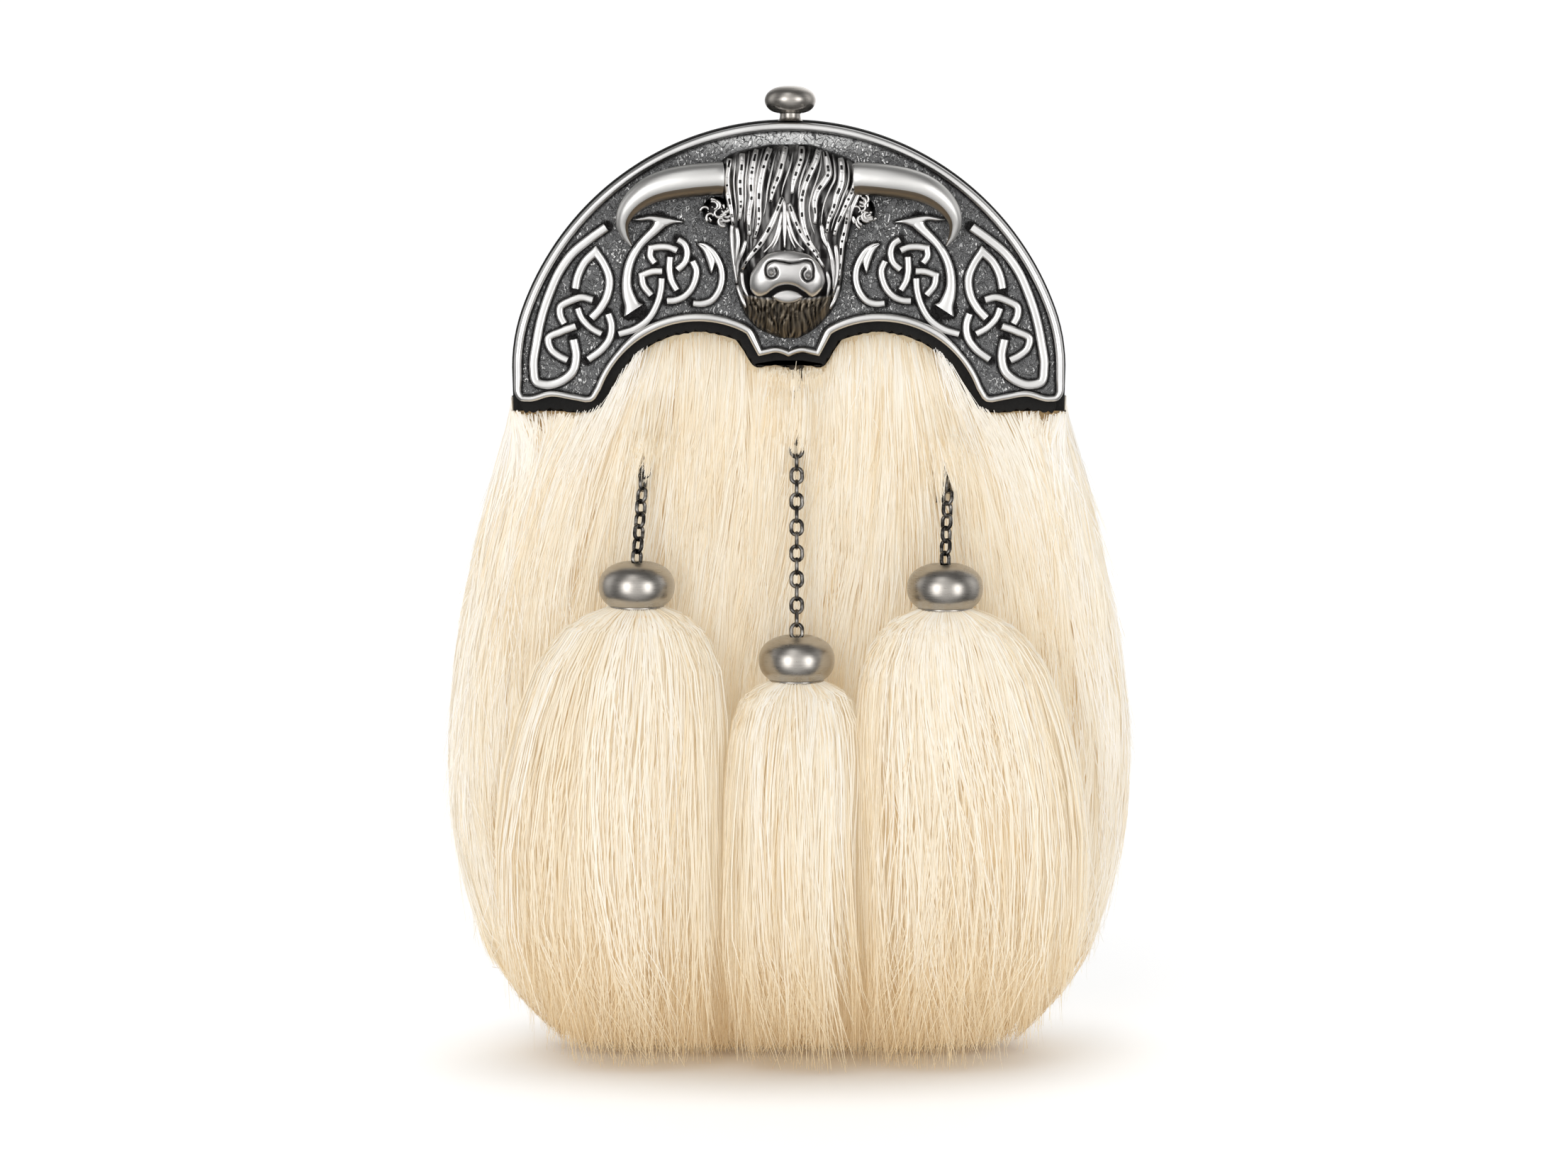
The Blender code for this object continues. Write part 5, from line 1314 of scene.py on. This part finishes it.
def tassel_hairs(x, z, rows, side, count, each, seed):
    """Hairs of one tassel in locks, as the coat's: out of the cap's mouth, over the shoulder and
    down the outer form, at a share of its width and depth, to tips at all heights."""
    rng = np.random.default_rng(seed)
    bottom = rows[0, 0]

    def lock(low=0, high=1):
        return np.repeat(rng.uniform(low, high, count), each)[:, None]

    own = rng.normal(0, 1, (5, count * each, 1))
    within = 0.25 + 0.75 * lock() ** 0.4
    turn = lock(0, 2 * np.pi)
    end = bottom * (1 - 0.7 * lock() ** 1.5) + own[0] * 3.5
    corner = share(np.cos(turn) * side) if rows is SIDE_TASSEL else np.abs(np.cos(turn)) * 0.5
    end = np.maximum(end, bottom * (1 - 0.2 * corner ** 3 * within) + 1.5 * np.abs(own[0]))
    t = np.linspace(0, 1, HAIR_POINTS + 1)
    height = -5.4 + (end + 5.4) * (0.12 * t + 0.88 * t ** 1.5)
    drop = share((-6 - height) / -bottom)
    low_down = smooth((0.35 - (z + height) / 120) / 0.3)
    swing = turn + own[1] * 0.13 * (1 - 0.5 * t) + lock(-0.42, 0.42) * drop ** 1.1
    bend = 0.04 * t + 0.09 * t ** 3 + 0.16 * t ** 3 * low_down
    swing += lock(-0.14, 0.14) * np.sin(np.pi * t) + own[2] * bend
    swing += (0.006 + 0.03 * drop + 0.05 * low_down) * np.sin(height / (6 + 2 * np.abs(own[3])) + own[4] * 3)
    reach = (0.4 + 0.6 * within) * (1 + lock(-0.05, 0.07) * drop + 0.03 * own[3] * drop)
    half, thick, middle, aside = tassel_form(rows, height)
    shift = lock(-3.6, 3.6) * drop ** 2 + lock(-2, 2) * np.sin(5 * drop + lock(0, 6)) * drop
    shift += own[4] * 2.8 * t ** 4 * low_down
    spot = np.stack([x + side * aside + half * reach * np.cos(swing) + shift,
                     middle + thick * reach * np.sin(swing), z + height], axis=-1)
    outward = np.stack([np.cos(swing) / half, np.sin(swing) / thick, 0 * swing], axis=-1)
    grid = ribbons(spot, outward, 0.32, (0.8, 0.7), 0.5 * own[3], t, rng)
    # Darker for hairs that lie deeper in the bundle: painted shade.
    tone = 0.6 + 0.16 * within + lock(-0.09, 0.09) + 0.04 * own[2] - 0.08 * drop
    tone = tone - 0.27 * smooth((50 - z - height) / 52)
    return grid, np.clip(tone, 0.09, 1)[..., None] * np.ones(2)


h = np.linspace(0.995, -0.78, 34)  # the cap's wall in section, from its hole round its mouth and back inside
outside = np.stack([CAP_RADIUS * (1 - np.abs(h) ** CAP_POWER) ** (1 / CAP_POWER), CAP_RISE * h], axis=1)
outside = outside[outside[:, 0] > CAP_HOLE]
rolled = arc(outside[-1] - [0.15, 0.1], 0.45, 30, -140, 8)
inner = CAP_RADIUS - CAP_WALL
a = np.linspace(-math.acos(CAP_LIP / inner), math.acos(CAP_HOLE / inner), 10)
inside = np.stack([inner * np.cos(a), (CAP_RISE - CAP_WALL) * np.sin(a)], axis=1)
cap_section = np.concatenate([outside, rolled, inside])

for number, (name, cap_x, cap_z, top_x, top_depth, count, *_) in enumerate(HANGERS):
    gate = np.array([cap_x, CAP_DEPTH, cap_z + CAP_RISE])
    reach = LINK_PITCH * (count - 1) - CHAIN_END
    rise = math.sqrt(reach ** 2 - (top_x - cap_x) ** 2 - (top_depth - CAP_DEPTH) ** 2)
    high = np.array([top_x, top_depth, gate[2] + rise])
    along = (high - gate) / reach
    low = gate - along * CHAIN_END
    sideways = unit(np.cross(along, [0, 1, 0]))
    forward = np.cross(sideways, along)
    chain = Casting()
    for k in range(count):
        turn = (k % 2) * math.pi / 2 + (0 if name == "center" else SIDE_TWIST) * min(k, 2) / 2
        flat = sideways * math.cos(turn) + forward * math.sin(turn)
        chain.add(wire_link(high + (low - high) * k / (count - 1), along, flat), "ring")
    chain.piece(f"chain_links_{name}", f"chain_{name}", gunmetal)

    cap = lathe(cap_x, CAP_DEPTH, cap_z, cap_section, 60)
    Casting().add(cap, "ring").piece(f"ball_cap_spun_{name}", f"ball_cap_{name}", steel)

    rows, locks = (CENTER_TASSEL, 270) if name == "center" else (SIDE_TASSEL, 390)
    side = -1 if name == "left" else 1
    height = np.linspace(-5, rows[0, 0] + 24, 34)[:, None]
    half, thick, middle, aside = tassel_form(rows, height)
    narrow = 0.84 - 0.6 * smooth((height / rows[0, 0] - 0.5) / 0.34)
    turn = circle(48)
    core = np.stack([cap_x + side * aside + half * narrow * np.cos(turn),
                     middle + thick * narrow * np.sin(turn), cap_z + height + 0 * turn], axis=-1)
    core = Casting().add(core, tone=0.5 - 0.16 * smooth((44 - core[..., 2]) / 40))
    core.piece(f"tassel_core_{name}", f"tassel_{name}", hair)
    grid, tones = tassel_hairs(cap_x, cap_z, rows, side, locks, 11, 300 + number)
    Casting().add(grid, "strip", tone=tones).piece(f"tassel_hair_{name}", f"tassel_{name}", hair, None)
    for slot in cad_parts[f"chain_post_{name}"].material_slots:
        slot.material = gunmetal.material
